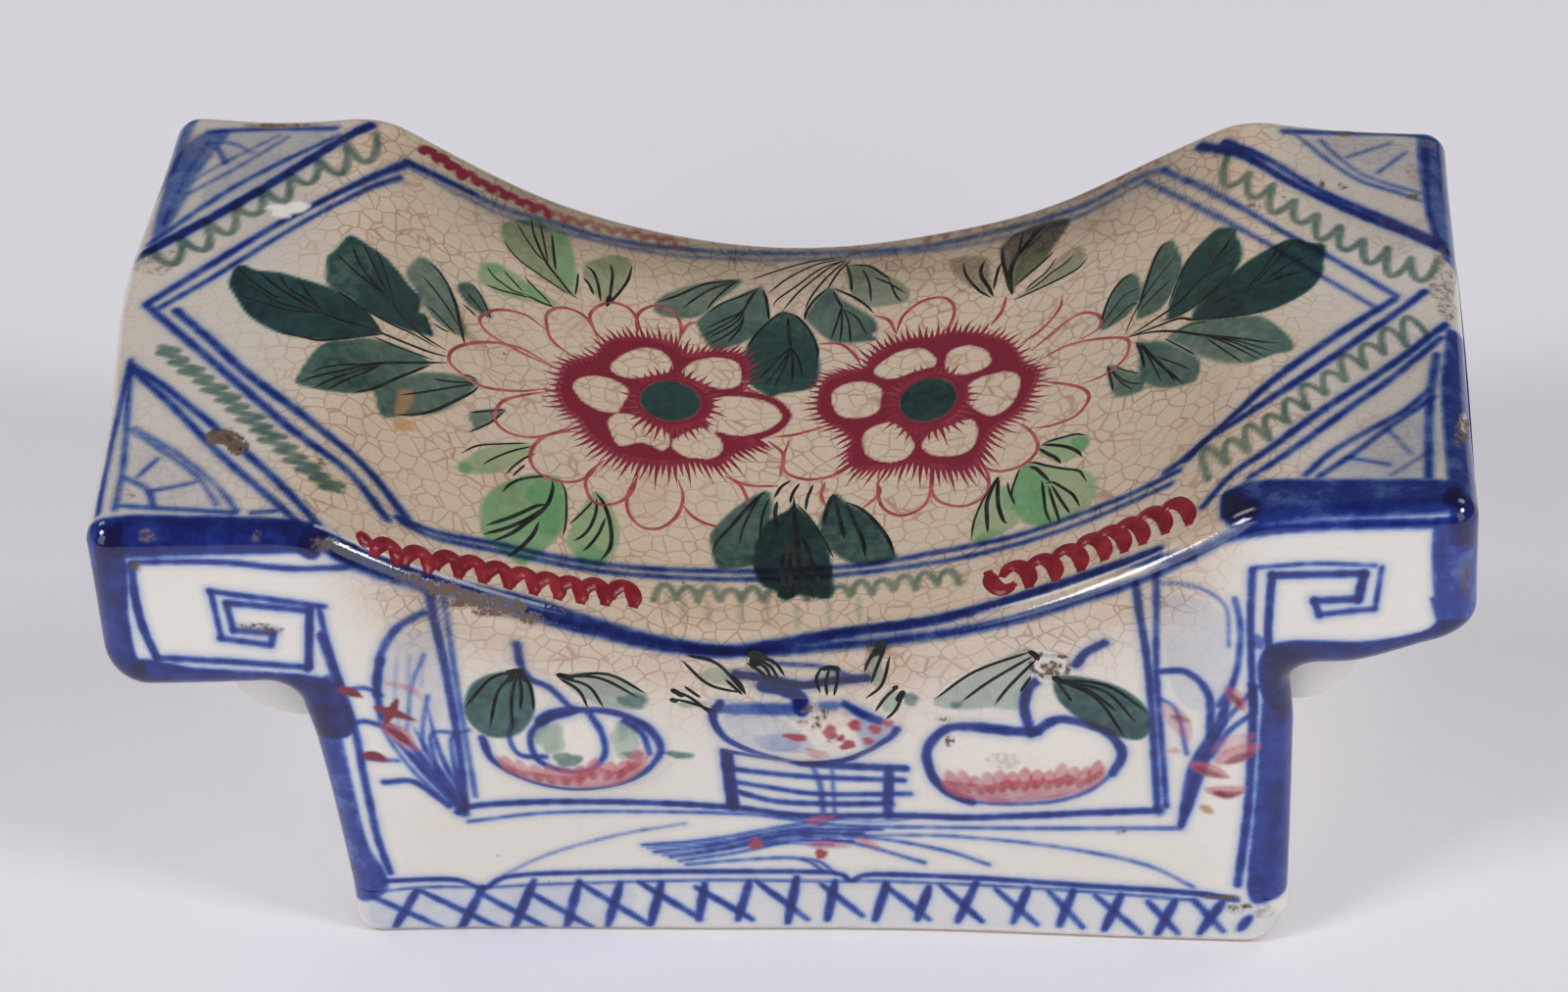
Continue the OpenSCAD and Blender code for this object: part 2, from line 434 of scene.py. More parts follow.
class Chart:
    """A face to paint: where its flat coordinates lie in space, and the marks laid on it.

    A face that the photograph shows also has a rough guess of its place there (the pixel of its zero and the
    pixels of a millimetre, across and down) and the limits of its coordinates.
    """

    def __init__(self, ideal=None, guess=None, limits=None, blue_soft=COBALT_SOFT):
        self.ideal = ideal
        self.guess = guess
        self.limits = limits
        self.blue_soft = blue_soft
        self.marks = []

    def point(self, coords):
        return warp(self.ideal(np.asarray(coords, float)))

    def normal(self, coords):
        here = self.point(coords)
        along = self.point(coords + np.array([NUDGE, 0])) - here
        up = self.point(coords + np.array([0, NUDGE])) - here
        return unit(np.cross(along, up))

    def from_photo(self, pixels):
        """Flat coordinates of what the photograph shows at these pixels."""
        target = np.asarray(pixels, float).reshape(-1, 2)
        zero_x, zero_y, wide, tall = self.guess
        at = np.stack([(target[:, 0] - zero_x) / wide, (zero_y - target[:, 1]) / tall], axis=-1)
        for _ in range(NEWTON_STEPS):
            here = project(self.point(at))
            miss = target - here
            by_a = (project(self.point(at + [NUDGE, 0])) - here) / NUDGE
            by_b = (project(self.point(at + [0, NUDGE])) - here) / NUDGE
            size = by_a[:, 0] * by_b[:, 1] - by_a[:, 1] * by_b[:, 0]
            size = np.minimum(size, -LEAST_SLOPE)
            step_a = (miss[:, 0] * by_b[:, 1] - miss[:, 1] * by_b[:, 0]) / size
            step_b = (by_a[:, 0] * miss[:, 1] - by_a[:, 1] * miss[:, 0]) / size
            step = np.clip(np.stack([step_a, step_b], axis=-1), -LONGEST_STEP, LONGEST_STEP)
            at = np.clip(at + step, *self.limits)
        return at

    def lay(self, ink, path, width, load=1.0, taper=0.0):
        """A brush stroke along a path of flat coordinates."""
        path = np.asarray(path, float)
        along = np.linspace(-1, 1, len(path))
        sway = 1 + SWAY * np.sin(np.arange(len(path)) * SWAY_PACE + path[0, 0])
        half = width / 2 * sway * (1 - taper * np.abs(along) ** TAPER_POWER)
        self.marks.append((ink, path, half, load))

    def trace(self, pixels):
        """Flat coordinates along a smooth curve through a few pixels."""
        return self.from_photo(spline(pixels, PIXEL_STEP))

    def stroke(self, ink, pixels, width, load=1.0, taper=0.0):
        self.lay(ink, self.trace(pixels), width, load, taper)

    def blade(self, ink, pixels, width, load=1.0):
        """A stroke that swells from its foot and runs out to a point."""
        path = self.trace(pixels)
        along = np.linspace(BLADE_FOOT, 1, len(path))
        self.marks.append((ink, path, width / 2 * np.sin(math.pi * along), load))

    def pool(self, ink, outline, load=1.0):
        """A filled patch with an outline of flat coordinates."""
        self.marks.append((ink, np.asarray(outline, float), None, load))

    def fill(self, ink, pixels, load=1.0):
        self.pool(ink, self.from_photo(ring(pixels)), load)

    def dab(self, ink, x, y, half_x, half_y, tilt=0.0, load=1.0):
        """A small uneven touch at a pixel, with its half sizes in pixels and its tilt in degrees."""
        edge = ellipse((x, y), (half_x, half_y), tilt, DAB_POINTS)
        t = np.linspace(0, 2 * math.pi, DAB_POINTS, endpoint=False)
        uneven = np.ones(DAB_POINTS)
        for (turns, share), shift in zip(DAB_WAVES, (x, y, x + y)):
            uneven += share * np.sin(turns * t + shift)
        self.pool(ink, self.from_photo((edge - [x, y]) * uneven[:, None] + [x, y]), load)

    def paint(self, coords, inks):
        """Adds the marks' densities at these coordinates to the inks."""
        order = np.argsort(coords[:, 0])
        a, b = coords[order].T
        for ink, path, half, load in self.marks:
            blue = ink == "cobalt"
            soft = self.blue_soft if blue else ENAMEL_SOFT
            reach = (HALO_REACH if blue else soft) + (half.max() if half is not None else 0)
            (low_a, low_b), (high_a, high_b) = path.min(axis=0) - reach, path.max(axis=0) + reach
            low, high = np.searchsorted(a, [low_a, high_a])
            near = (b[low:high] > low_b) & (b[low:high] < high_b)
            index = low + np.nonzero(near)[0]
            if not len(index):
                continue
            if half is None:
                depth = outline_depth(a[index], b[index], path, reach)
            else:
                depth = segment_depth(a[index], b[index], path, half, reach)
            cover = ease(0.5 + depth / (2 * soft))
            where = order[index]
            if ink == "bare":
                for enamel_ink in ENAMELS:
                    inks[enamel_ink][where] *= 1 - cover
                continue
            if blue:
                cover = cover + HALO_SHARE * ease(1 + depth / HALO_REACH)
            inks[ink][where] = np.hypot(inks[ink][where], load * cover)


TOP_GUESS = (800, 405, 5, 3.4)
FRONT_GUESS = (810, 950, 5.1, 3.9)

# How far past the top's front edge, over its back lip and round the front a pixel is searched for
TOP_ROOM = 30
BACK_LIP_SEEN = 3.2
EDGE_ROOM = 14
TOP_LIMITS = ((-TOP_U, -TOP_V - TOP_ROOM), (TOP_U, FLAT_V + BACK_LIP_SEEN))
FRONT_LIMITS = ((-HALF_W - EDGE_ROOM, -EDGE_ROOM), (HALF_W + EDGE_ROOM, HEIGHT))

top = Chart(top_ideal, TOP_GUESS, TOP_LIMITS, TOP_COBALT_SOFT)
front = Chart(front_ideal, FRONT_GUESS, FRONT_LIMITS)
back = Chart(back_ideal)
end_chart = Chart()


def strip_faces(one, two):
    """Quads between two runs of points."""
    return list(zip(one[:-1], two[:-1], two[1:], one[1:]))


def grid_faces(rows, cols, flip=False):
    """Quads of a grid of points stored row by row."""
    first = (np.arange(rows - 1)[:, None] * cols + np.arange(cols - 1)[None, :]).ravel()
    quads = np.stack([first, first + 1, first + cols + 1, first + cols], axis=-1)
    return (quads[:, ::-1] if flip else quads).tolist()


def ring_faces(first, rings, count, flip=False):
    """Quads between closed rings of points stored one after another."""
    start = first + np.arange(rings - 1)[:, None] * count
    here = (start + np.arange(count)).ravel()
    beside = (start + (np.arange(count) + 1) % count).ravel()
    quads = np.stack([here, beside, beside + count, here + count], axis=-1)
    return (quads[:, ::-1] if flip else quads).tolist()


class Enamel:
    """Raised lines of one enamel, gathered into one closed mesh."""

    SINK = 0.1
    PROFILE = ((-1, 0), (-0.62, 0.75), (0, 1), (0.62, 0.75), (1, 0), (0, -1))
    END_POWER = 6

    def __init__(self):
        self.points = []
        self.faces = []

    def line(self, chart, path, width, height, thin=0.15, pointed=False):
        """A line along flat coordinates, drawn out thin at its ends, or running to a point."""
        path = np.asarray(path, float)
        count = len(path)
        middle = chart.point(path)
        normal = chart.normal(path)
        side = unit(np.cross(normal, np.gradient(middle, axis=0)))
        along = np.linspace(-1, 1, count)
        body = np.maximum((1 - along) / 2 if pointed else 1 - np.abs(along) ** self.END_POWER, thin)
        rows = len(self.PROFILE)
        rings = np.empty((count, rows, 3))
        for k, (across, lift) in enumerate(self.PROFILE):
            raised = height * body * lift if lift > 0 else np.full(count, (lift - 1) * self.SINK)
            reach = across * width / 2 * body
            rings[:, k] = middle + side * reach[:, None] + normal * raised[:, None]
        first = sum(len(p) for p in self.points)
        last = first + (count - 1) * rows
        self.points.append(rings.reshape(-1, 3))
        self.faces += ring_faces(first, count, rows)
        self.faces.append(tuple(reversed(range(first, first + rows))))
        self.faces.append(tuple(range(last, last + rows)))

    def trace(self, chart, pixels, width, height, thin=0.15):
        self.line(chart, chart.trace(pixels), width, height, thin)


black_lines = Enamel()
crimson_lines = Enamel()
rose_lines = Enamel()
red_scrolls = Enamel()

# Heights of the enamel lines and of the beads of red, in millimetres
LINE_H = 0.06
BEAD_H = 0.4

# Underglaze blue on the top. Each stroke is a width in mm, a load and the pixels that it passes.
TOP_BLUE = [
    # Left back corner
    (2.1, 1.25, [(147, 259), (250, 203), (350, 142), (378, 128)]),
    (1.2, 0.75, [(152, 249), (224, 200), (276, 171), (346, 138)]),
    (0.9, 0.6, [(193, 197), (240, 172), (294, 140)]), (0.8, 0.5, [(190, 189), (225, 168), (285, 138)]),
    (1.2, 0.55, [(212, 146), (190, 180), (166, 230)]), (0.8, 0.6, [(213, 147), (235, 146), (258, 156)]),
    (0.9, 0.8, [(221, 150), (230, 166)]), (1.2, 0.8, [(212, 135), (260, 132), (343, 131)]),
    # Left front corner
    (1.35, 0.95, [(133, 375), (176, 414), (224, 463), (270, 503), (304, 533)]),
    (1.35, 1.0, [(138, 374), (178, 402), (244, 456), (292, 500), (324, 535)]),
    (1.2, 0.9, [(133, 368), (119, 430), (104, 500), (100, 524)]),
    (1.1, 0.8, [(135, 372), (131, 400), (126, 472), (117, 520)]),
    (0.9, 0.7, [(130, 437), (166, 460), (202, 487), (221, 515)]),
    (0.9, 0.7, [(138, 437), (181, 463), (218, 493), (242, 521)]),
    (1.1, 0.8, [(126, 487), (150, 499), (156, 515)]), (0.9, 0.7, [(160, 469), (141, 486)]),
    (0.9, 0.7, [(199, 492), (181, 496), (153, 501)]),
    (1.0, 0.8, [(120, 516), (172, 519), (224, 522), (240, 523)]),
    (1.0, 0.8, [(257, 523), (282, 521)]),
    # Left point of the middle panel
    (1.5, 1.0, [(150, 310), (210, 273), (290, 225), (370, 185), (417, 166)]),
    (1.1, 0.9, [(161, 315), (222, 280), (300, 232), (370, 195), (408, 181)]),
    (1.55, 1.0, [(150, 312), (190, 346), (230, 380), (294, 435), (355, 481), (395, 530)]),
    (1.55, 1.05, [(180, 317), (215, 347), (251, 380), (312, 426), (371, 475), (414, 527)]),
    # Back and front edges of the middle panel
    (1.8, 0.5, [(417, 166), (450, 181), (508, 210), (560, 226), (629, 245), (732, 257), (853, 258),
        (939, 252), (1025, 234), (1100, 212), (1165, 180), (1187, 173)]),
    (1.3, 0.38, [(420, 172), (450, 188), (508, 217), (560, 233), (663, 257), (767, 265), (870, 262),
        (973, 252), (1042, 238), (1100, 221), (1169, 185)]),
    (1.3, 0.95, [(406, 528), (446, 543), (512, 556), (578, 570), (661, 580), (760, 583), (815, 581),
        (884, 576), (953, 564), (1035, 547), (1104, 524), (1156, 503), (1203, 480)]),
    (1.2, 0.9, [(410, 533), (446, 549), (512, 563), (578, 577), (643, 586), (747, 591), (850, 587),
        (953, 574), (1035, 556), (1104, 533), (1156, 511), (1194, 494)]),
    # Right point of the middle panel
    (1.4, 1.0, [(417, 166), (450, 182), (484, 198)]),
    (1.2, 0.8, [(1187, 174), (1237, 196), (1316, 240), (1362, 265), (1425, 302)]),
    (1.0, 0.7, [(1169, 185), (1225, 212), (1294, 249), (1347, 281), (1403, 313)]),
    (1.6, 1.05, [(1453, 298), (1425, 319), (1350, 371), (1276, 420), (1231, 449), (1212, 468)]),
    (1.6, 1.05, [(1422, 306), (1362, 343), (1300, 387), (1263, 420), (1212, 465), (1190, 481)]),
    # Right back corner
    (1.9, 1.15, [(1225, 149), (1269, 159), (1319, 187), (1378, 215), (1441, 240), (1481, 259)]),
    (1.7, 0.95, [(1250, 145), (1294, 163), (1350, 196), (1409, 221), (1472, 248)]),
    (0.9, 0.7, [(1322, 137), (1353, 162), (1387, 184), (1425, 196), (1462, 209)]),
    (0.9, 0.6, [(1347, 143), (1369, 163), (1397, 181), (1453, 198)]),
    (0.8, 0.6, [(1375, 160), (1419, 146)]), (0.8, 0.6, [(1406, 176), (1434, 156)]),
    (1.6, 0.9, [(1310, 134), (1380, 136), (1440, 138), (1470, 145)]),
    (1.2, 0.95, [(1454, 146), (1456, 180), (1458, 212), (1468, 250)]),
    # Right front corner
    (1.6, 1.0, [(1475, 331), (1420, 372), (1347, 420), (1295, 458), (1257, 484), (1228, 516)]),
    (1.4, 1.0, [(1470, 345), (1425, 382), (1372, 420), (1314, 462), (1275, 487)]),
    (1.25, 0.9, [(1459, 397), (1432, 420), (1395, 440), (1359, 461), (1333, 484)]),
    (1.2, 0.9, [(1463, 405), (1416, 437), (1378, 465), (1346, 486)]),
    (0.9, 0.7, [(1378, 467), (1418, 474)]), (0.9, 0.6, [(1416, 438), (1440, 462)]),
    (1.0, 0.5, [(1419, 485), (1460, 460)]),
    (1.7, 0.85, [(1466, 362), (1460, 400), (1458, 440), (1458, 486)]),
    # Double line low on the front lip
    (2.3, 1.15, [(330, 552), (360, 570), (413, 588), (466, 603), (545, 626), (612, 644), (678, 659),
        (735, 665), (781, 660), (850, 647), (953, 632), (1035, 610), (1104, 588), (1180, 562)]),
    (1.6, 0.95, [(345, 556), (439, 589), (532, 610), (595, 630), (660, 650), (740, 664), (800, 664),
        (850, 659), (953, 648), (1035, 632), (1104, 611), (1173, 588), (1249, 549)]),
    (4.4, 0.7, [(335, 552), (375, 575), (440, 594)]),
    # Darker strokes in the bands of the front corners
    (1.9, 0.55, [(108, 538), (160, 534), (230, 536), (300, 541)]),
    (1.5, 0.5, [(112, 560), (190, 560), (260, 557), (318, 552)]),
    (2.4, 0.6, [(1262, 526), (1340, 520), (1420, 514), (1490, 508)]),
    (1.3, 0.5, [(1280, 496), (1360, 493), (1440, 494), (1488, 498)]),
    # Tops of the front's frames, on the lip
    (1.9, 1.1, [(1256, 547), (1295, 541), (1359, 536), (1464, 534)]),
    (1.8, 0.9, [(1150, 575), (1180, 571), (1215, 567)]),
]

# Patches of blue on the top, each a load and its outline
TOP_BLUE_POOLS = [
    (0.55, [(154, 249), (164, 206), (177, 166), (191, 147), (210, 135), (236, 133), (222, 152), (204, 176),
        (188, 206), (168, 238)]),
    (0.12, [(236, 136), (300, 134), (364, 134), (330, 152), (262, 190), (206, 208), (222, 165)]),
    (1.2, [(104, 530), (200, 527), (300, 531), (336, 543), (322, 560), (294, 564), (200, 566), (126, 569),
        (104, 566)]),
    (0.9, [(1247, 512), (1262, 496), (1289, 490), (1400, 489), (1475, 490), (1494, 498), (1496, 520),
        (1461, 524), (1350, 529), (1268, 540), (1250, 530)]),
    (0.08, [(1330, 142), (1440, 142), (1466, 150), (1468, 205), (1400, 190), (1355, 165)]),
    (0.11, [(1340, 488), (1420, 440), (1462, 405), (1462, 486)]),
    (0.05, [(128, 440), (200, 490), (235, 520), (120, 518)]),
]

# Blue bands along the ends' lips, in millimetres on the slab: load and outline
END_BANDS = [
    (0.6, [(-131.5, 46), (-130, TOP_V), (-TOP_U - 2, TOP_V), (-TOP_U - 2, 18)]),
    (0.7, [(132, 18), (129.5, 32), (128.5, 48), (128.5, TOP_V), (TOP_U + 2, TOP_V), (TOP_U + 2, 12)]),
    (0.9, [(131.5, -6), (129.5, -25), (129, -TOP_V), (TOP_U + 2, -TOP_V), (TOP_U + 2, -6)]),
]

# Where the blue pooled nearly black, as ovals
TOP_DARK_DABS = [
    (116, 545, 9, 12), (318, 556, 17, 11), (1264, 516, 17, 18), (1484, 508, 10, 12), (350, 562, 15, 7),
]

# The slab's front corners, blue right round: side, how far in from the end and from the front, load
BLUE_CORNERS = [(-1, 4, 5, 1.0), (1, 4, 6, 0.9)]

# Green scribbles: shape, width, count, swing in pixels, load, middle line
GREEN_SCRIBBLES = [
    ("cup", 1.7, 8, 13, 0.62, [(160, 266), (200, 244), (240, 219), (285, 191), (330, 169), (388, 147)]),
    ("zigzag", 1.75, 15, 13, 0.66, [(165, 354), (190, 374), (230, 405), (270, 440), (310, 475),
        (345, 500)]),
    ("cup", 1.7, 9, 13, 0.58, [(1246, 172), (1280, 189), (1330, 218), (1380, 246), (1430, 270),
        (1464, 278)]),
    ("arch", 1.5, 11, 13, 0.6, [(1226, 476), (1250, 463), (1290, 441), (1330, 411), (1370, 381),
        (1420, 347), (1452, 332)]),
    ("arch", 1.5, 14, 8, 0.55, [(668, 603), (700, 606), (750, 608), (800, 608), (860, 604), (920, 596),
        (978, 587)]),
]
GREEN_DRIPS = [
    (680, 612), (697, 616), (722, 620), (755, 618), (783, 622), (813, 624), (845, 619), (876, 617),
]
DRIP_DOWN = (1, 17)

# Humps of the red scrolls on the front lip, and the middle lines of the fainter ones behind
LEFT_HUMPS = [
    (394, 553), (426, 561), (457, 566), (482, 571), (508, 577), (534, 583), (559, 588), (582, 592),
    (607, 594), (636, 596),
]
RIGHT_HUMPS = [
    (1038, 576), (1065, 569), (1091, 559), (1115, 548), (1135, 540), (1154, 532), (1177, 521), (1201, 512),
]
LEFT_HUMP = [(-13, 15), (-9, 5), (0, 1), (8, 6), (11, 15), (10, 24)]
RIGHT_HUMP = [(-16, 13), (-9, 4), (0, 1), (9, 6), (13, 15), (12, 24)]
BEAD_W = 3.9
FIRST_DABS = [[(366, 543), (372, 550), (377, 558)], [(1008, 583), (1013, 596), (1024, 602), (1036, 595)]]
BACK_SCROLLS = [
    (1.8, 1.0, 3, [(432, 152), (448, 162), (472, 177)]),
    (1.9, 0.6, 6, [(472, 177), (500, 192), (530, 206), (560, 218)]),
    (1.6, 0.4, 8, [(560, 218), (590, 227), (640, 239), (690, 248)]),
    (1.5, 0.35, 12, [(945, 243), (980, 236), (1035, 221), (1100, 198), (1180, 162)]),
]

# Leaves on the top: ink, load and outline
TOP_LEAVES = [
    # Left
    ("teal", 1.3, [(242, 272), (250, 271), (262, 276), (284, 278), (306, 284), (340, 295), (362, 309),
        (376, 321), (388, 339), (362, 344), (338, 347), (316, 345), (288, 340), (268, 331), (252, 319),
        (240, 301), (234, 290), (237, 279)]),
    ("teal", 1.05, [(358, 240), (374, 249), (396, 265), (419, 293), (430, 305), (428, 319), (434, 321),
        (441, 337), (440, 343), (406, 333), (380, 321), (352, 301), (340, 295), (333, 287), (333, 275),
        (334, 262), (341, 256), (350, 246)]),
    ("teal", 0.65, [(430, 262), (446, 273), (461, 297), (472, 325), (477, 341), (465, 341), (441, 323),
        (427, 301), (415, 280), (419, 270)]),
    ("teal", 0.8, [(469, 289), (476, 288), (483, 291), (498, 313), (500, 325), (478, 311), (467, 295)]),
    ("teal", 0.85, [(334, 349), (352, 347), (378, 345), (412, 355), (438, 370), (414, 381), (382, 395),
        (362, 401), (330, 398), (303, 391), (305, 381), (320, 359)]),
    ("teal", 0.75, [(422, 381), (448, 380), (478, 385), (488, 391), (468, 410), (444, 422), (412, 424),
        (390, 425), (383, 405), (380, 395), (396, 389)]),
    ("teal", 0.7, [(480, 421), (514, 417), (506, 427), (486, 438), (482, 433)]),
    # Back, in the middle
    ("teal", 0.65, [(754, 285), (719, 288), (681, 299), (667, 312), (671, 320), (686, 324), (700, 325),
        (715, 322), (732, 308), (752, 293)]),
    ("teal", 0.82, [(774, 293), (779, 295), (785, 327), (768, 344), (745, 354), (726, 356), (712, 333),
        (714, 325), (738, 308)]),
    ("teal", 1.05, [(798, 318), (814, 324), (831, 344), (836, 369), (833, 392), (821, 398), (795, 402),
        (785, 405), (764, 390), (759, 372), (764, 350), (785, 328)]),
    ("teal", 0.78, [(842, 295), (850, 295), (861, 306), (888, 322), (896, 335), (890, 341), (894, 347),
        (861, 350), (844, 346), (823, 327), (825, 318)]),
    ("teal", 0.5, [(864, 270), (880, 271), (896, 276), (924, 292), (928, 299), (924, 308), (896, 313),
        (880, 310), (870, 303), (864, 278)]),
    # Front, in the middle
    ("teal", 0.9, [(782, 501), (788, 522), (778, 556), (770, 562), (769, 576), (745, 580), (731, 578),
        (725, 553), (728, 540), (752, 517)]),
    ("teal", 1.35, [(810, 515), (830, 533), (844, 556), (849, 584), (850, 600), (848, 608), (839, 611),
        (817, 606), (806, 611), (795, 609), (791, 601), (778, 597), (768, 575), (775, 547), (785, 531),
        (805, 520)]),
    ("teal", 1.0, [(851, 504), (863, 512), (892, 531), (910, 559), (913, 570), (878, 576), (850, 564),
        (837, 540), (840, 522)]),
    # Right
    ("teal", 0.75, [(1123, 336), (1126, 322), (1138, 294), (1147, 283), (1156, 279), (1163, 285),
        (1164, 302), (1150, 322), (1128, 336)]),
    ("teal", 0.8, [(1160, 322), (1166, 294), (1182, 255), (1191, 247), (1198, 247), (1206, 269),
        (1198, 294), (1185, 314), (1164, 325)]),
    ("teal", 1.1, [(1191, 322), (1201, 290), (1210, 267), (1238, 236), (1252, 232), (1260, 233),
        (1262, 241), (1267, 252), (1266, 266), (1252, 285), (1229, 306), (1201, 324)]),
    ("teal", 1.2, [(1216, 324), (1229, 306), (1270, 269), (1308, 247), (1322, 244), (1336, 248),
        (1349, 249), (1352, 252), (1350, 266), (1349, 280), (1333, 298), (1300, 315), (1278, 320),
        (1233, 326)]),
    ("teal", 0.5, [(1322, 244), (1336, 248), (1352, 252), (1350, 268), (1336, 266)]),
    ("teal", 0.7, [(1208, 332), (1226, 327), (1278, 322), (1296, 327), (1317, 345), (1319, 357),
        (1298, 362), (1270, 371), (1235, 367), (1205, 353), (1191, 345)]),
    ("teal", 0.75, [(1159, 349), (1173, 349), (1187, 348), (1215, 360), (1224, 369), (1223, 382),
        (1217, 390), (1187, 396), (1164, 387), (1162, 359)]),
    ("teal", 0.65, [(1130, 373), (1149, 378), (1163, 382), (1167, 391), (1164, 399), (1143, 405),
        (1135, 401)]),
    # Greens at the left
    ("green", 0.4, [(511, 231), (524, 225), (551, 225), (574, 236), (585, 259), (588, 299), (583, 301),
        (560, 288), (535, 269), (516, 251)]),
    ("smoke_and_painted_shade", 0.22, [(511, 231), (524, 225), (551, 225), (562, 240), (568, 275), (583, 301), (560, 288),
        (535, 269), (516, 251)]),
    ("green", 0.7, [(565, 237), (577, 239), (585, 259), (587, 290), (577, 292), (567, 274)]),
    ("green", 0.55, [(491, 269), (502, 268), (514, 272), (538, 288), (563, 305), (568, 312), (542, 308),
        (511, 300), (491, 288), (488, 278)]),
    ("green", 0.75, [(494, 270), (506, 269), (514, 275), (505, 280), (495, 277)]),
    ("green", 0.7, [(528, 286), (536, 288), (560, 304), (550, 307), (536, 298)]),
    ("green", 0.35, [(595, 274), (603, 266), (628, 261), (645, 268), (637, 289), (622, 307), (613, 307),
        (600, 290)]),
    ("smoke_and_painted_shade", 0.2, [(595, 274), (603, 266), (628, 261), (645, 268), (637, 289), (622, 307), (613, 307),
        (600, 290)]),
    ("green", 0.5, [(468, 476), (480, 465), (505, 454), (545, 454), (531, 471), (508, 482), (480, 483),
        (470, 481)]),
    ("green", 0.8, [(467, 477), (471, 471), (480, 472), (482, 479), (476, 483), (470, 481)]),
    ("green", 0.8, [(540, 484), (563, 486), (571, 488), (578, 518), (577, 536), (560, 557), (540, 573),
        (531, 576), (513, 563), (493, 545), (491, 517), (505, 498)]),
    ("green", 0.75, [(551, 487), (570, 491), (577, 518), (569, 545), (551, 542), (548, 518), (536, 506)]),
    ("green", 0.6, [(607, 502), (623, 515), (632, 547), (620, 572), (599, 578), (583, 562), (578, 551),
        (589, 527)]),
    ("green", 0.6, [(586, 560), (605, 556), (622, 566), (611, 575), (596, 577)]),
    # Greens at the right
    ("green", 0.5, [(1063, 453), (1088, 445), (1109, 444), (1112, 448), (1104, 462), (1082, 472),
        (1061, 461)]),
    ("green", 0.8, [(1094, 447), (1109, 445), (1111, 452), (1104, 461), (1094, 457)]),
    ("green", 0.5, [(1041, 477), (1054, 472), (1085, 478), (1112, 482), (1120, 498), (1111, 517),
        (1091, 529), (1065, 537), (1045, 532), (1032, 514), (1034, 494)]),
    ("green", 0.85, [(1041, 478), (1052, 473), (1072, 493), (1067, 515), (1076, 533), (1052, 535),
        (1037, 525), (1032, 507)]),
    ("green", 0.45, [(1019, 486), (1022, 496), (1030, 497), (1037, 518), (1037, 536), (1008, 549),
        (995, 556), (991, 552), (996, 521), (1012, 496)]),
    ("green", 0.6, [(996, 548), (1010, 540), (1022, 543), (1008, 551), (996, 555)]),
    ("green", 0.6, [(1022, 498), (1031, 498), (1036, 518), (1024, 522)]),
    # Smoky leaves at the back, right of the middle
    ("smoke_and_painted_shade", 0.4, [(969, 265), (988, 261), (1008, 266), (1012, 286), (1013, 298), (1002, 297), (982, 288),
        (970, 273)]),
    ("smoke_and_painted_shade", 0.75, [(1022, 251), (1041, 236), (1070, 226), (1091, 224), (1083, 241), (1060, 271),
        (1038, 290), (1034, 300), (1027, 288), (1022, 262)]),
    ("smoke_and_painted_shade", 0.55, [(1042, 240), (1070, 227), (1091, 224), (1083, 240), (1062, 258)]),
    ("green", 0.35, [(1036, 274), (1060, 252), (1072, 258), (1048, 281), (1037, 288)]),
    ("smoke_and_painted_shade", 0.35, [(1035, 305), (1059, 286), (1079, 264), (1097, 252), (1108, 256), (1103, 271),
        (1081, 285), (1054, 298)]),
    ("green", 0.3, [(1066, 288), (1084, 270), (1100, 258), (1106, 264), (1090, 280)]),
]

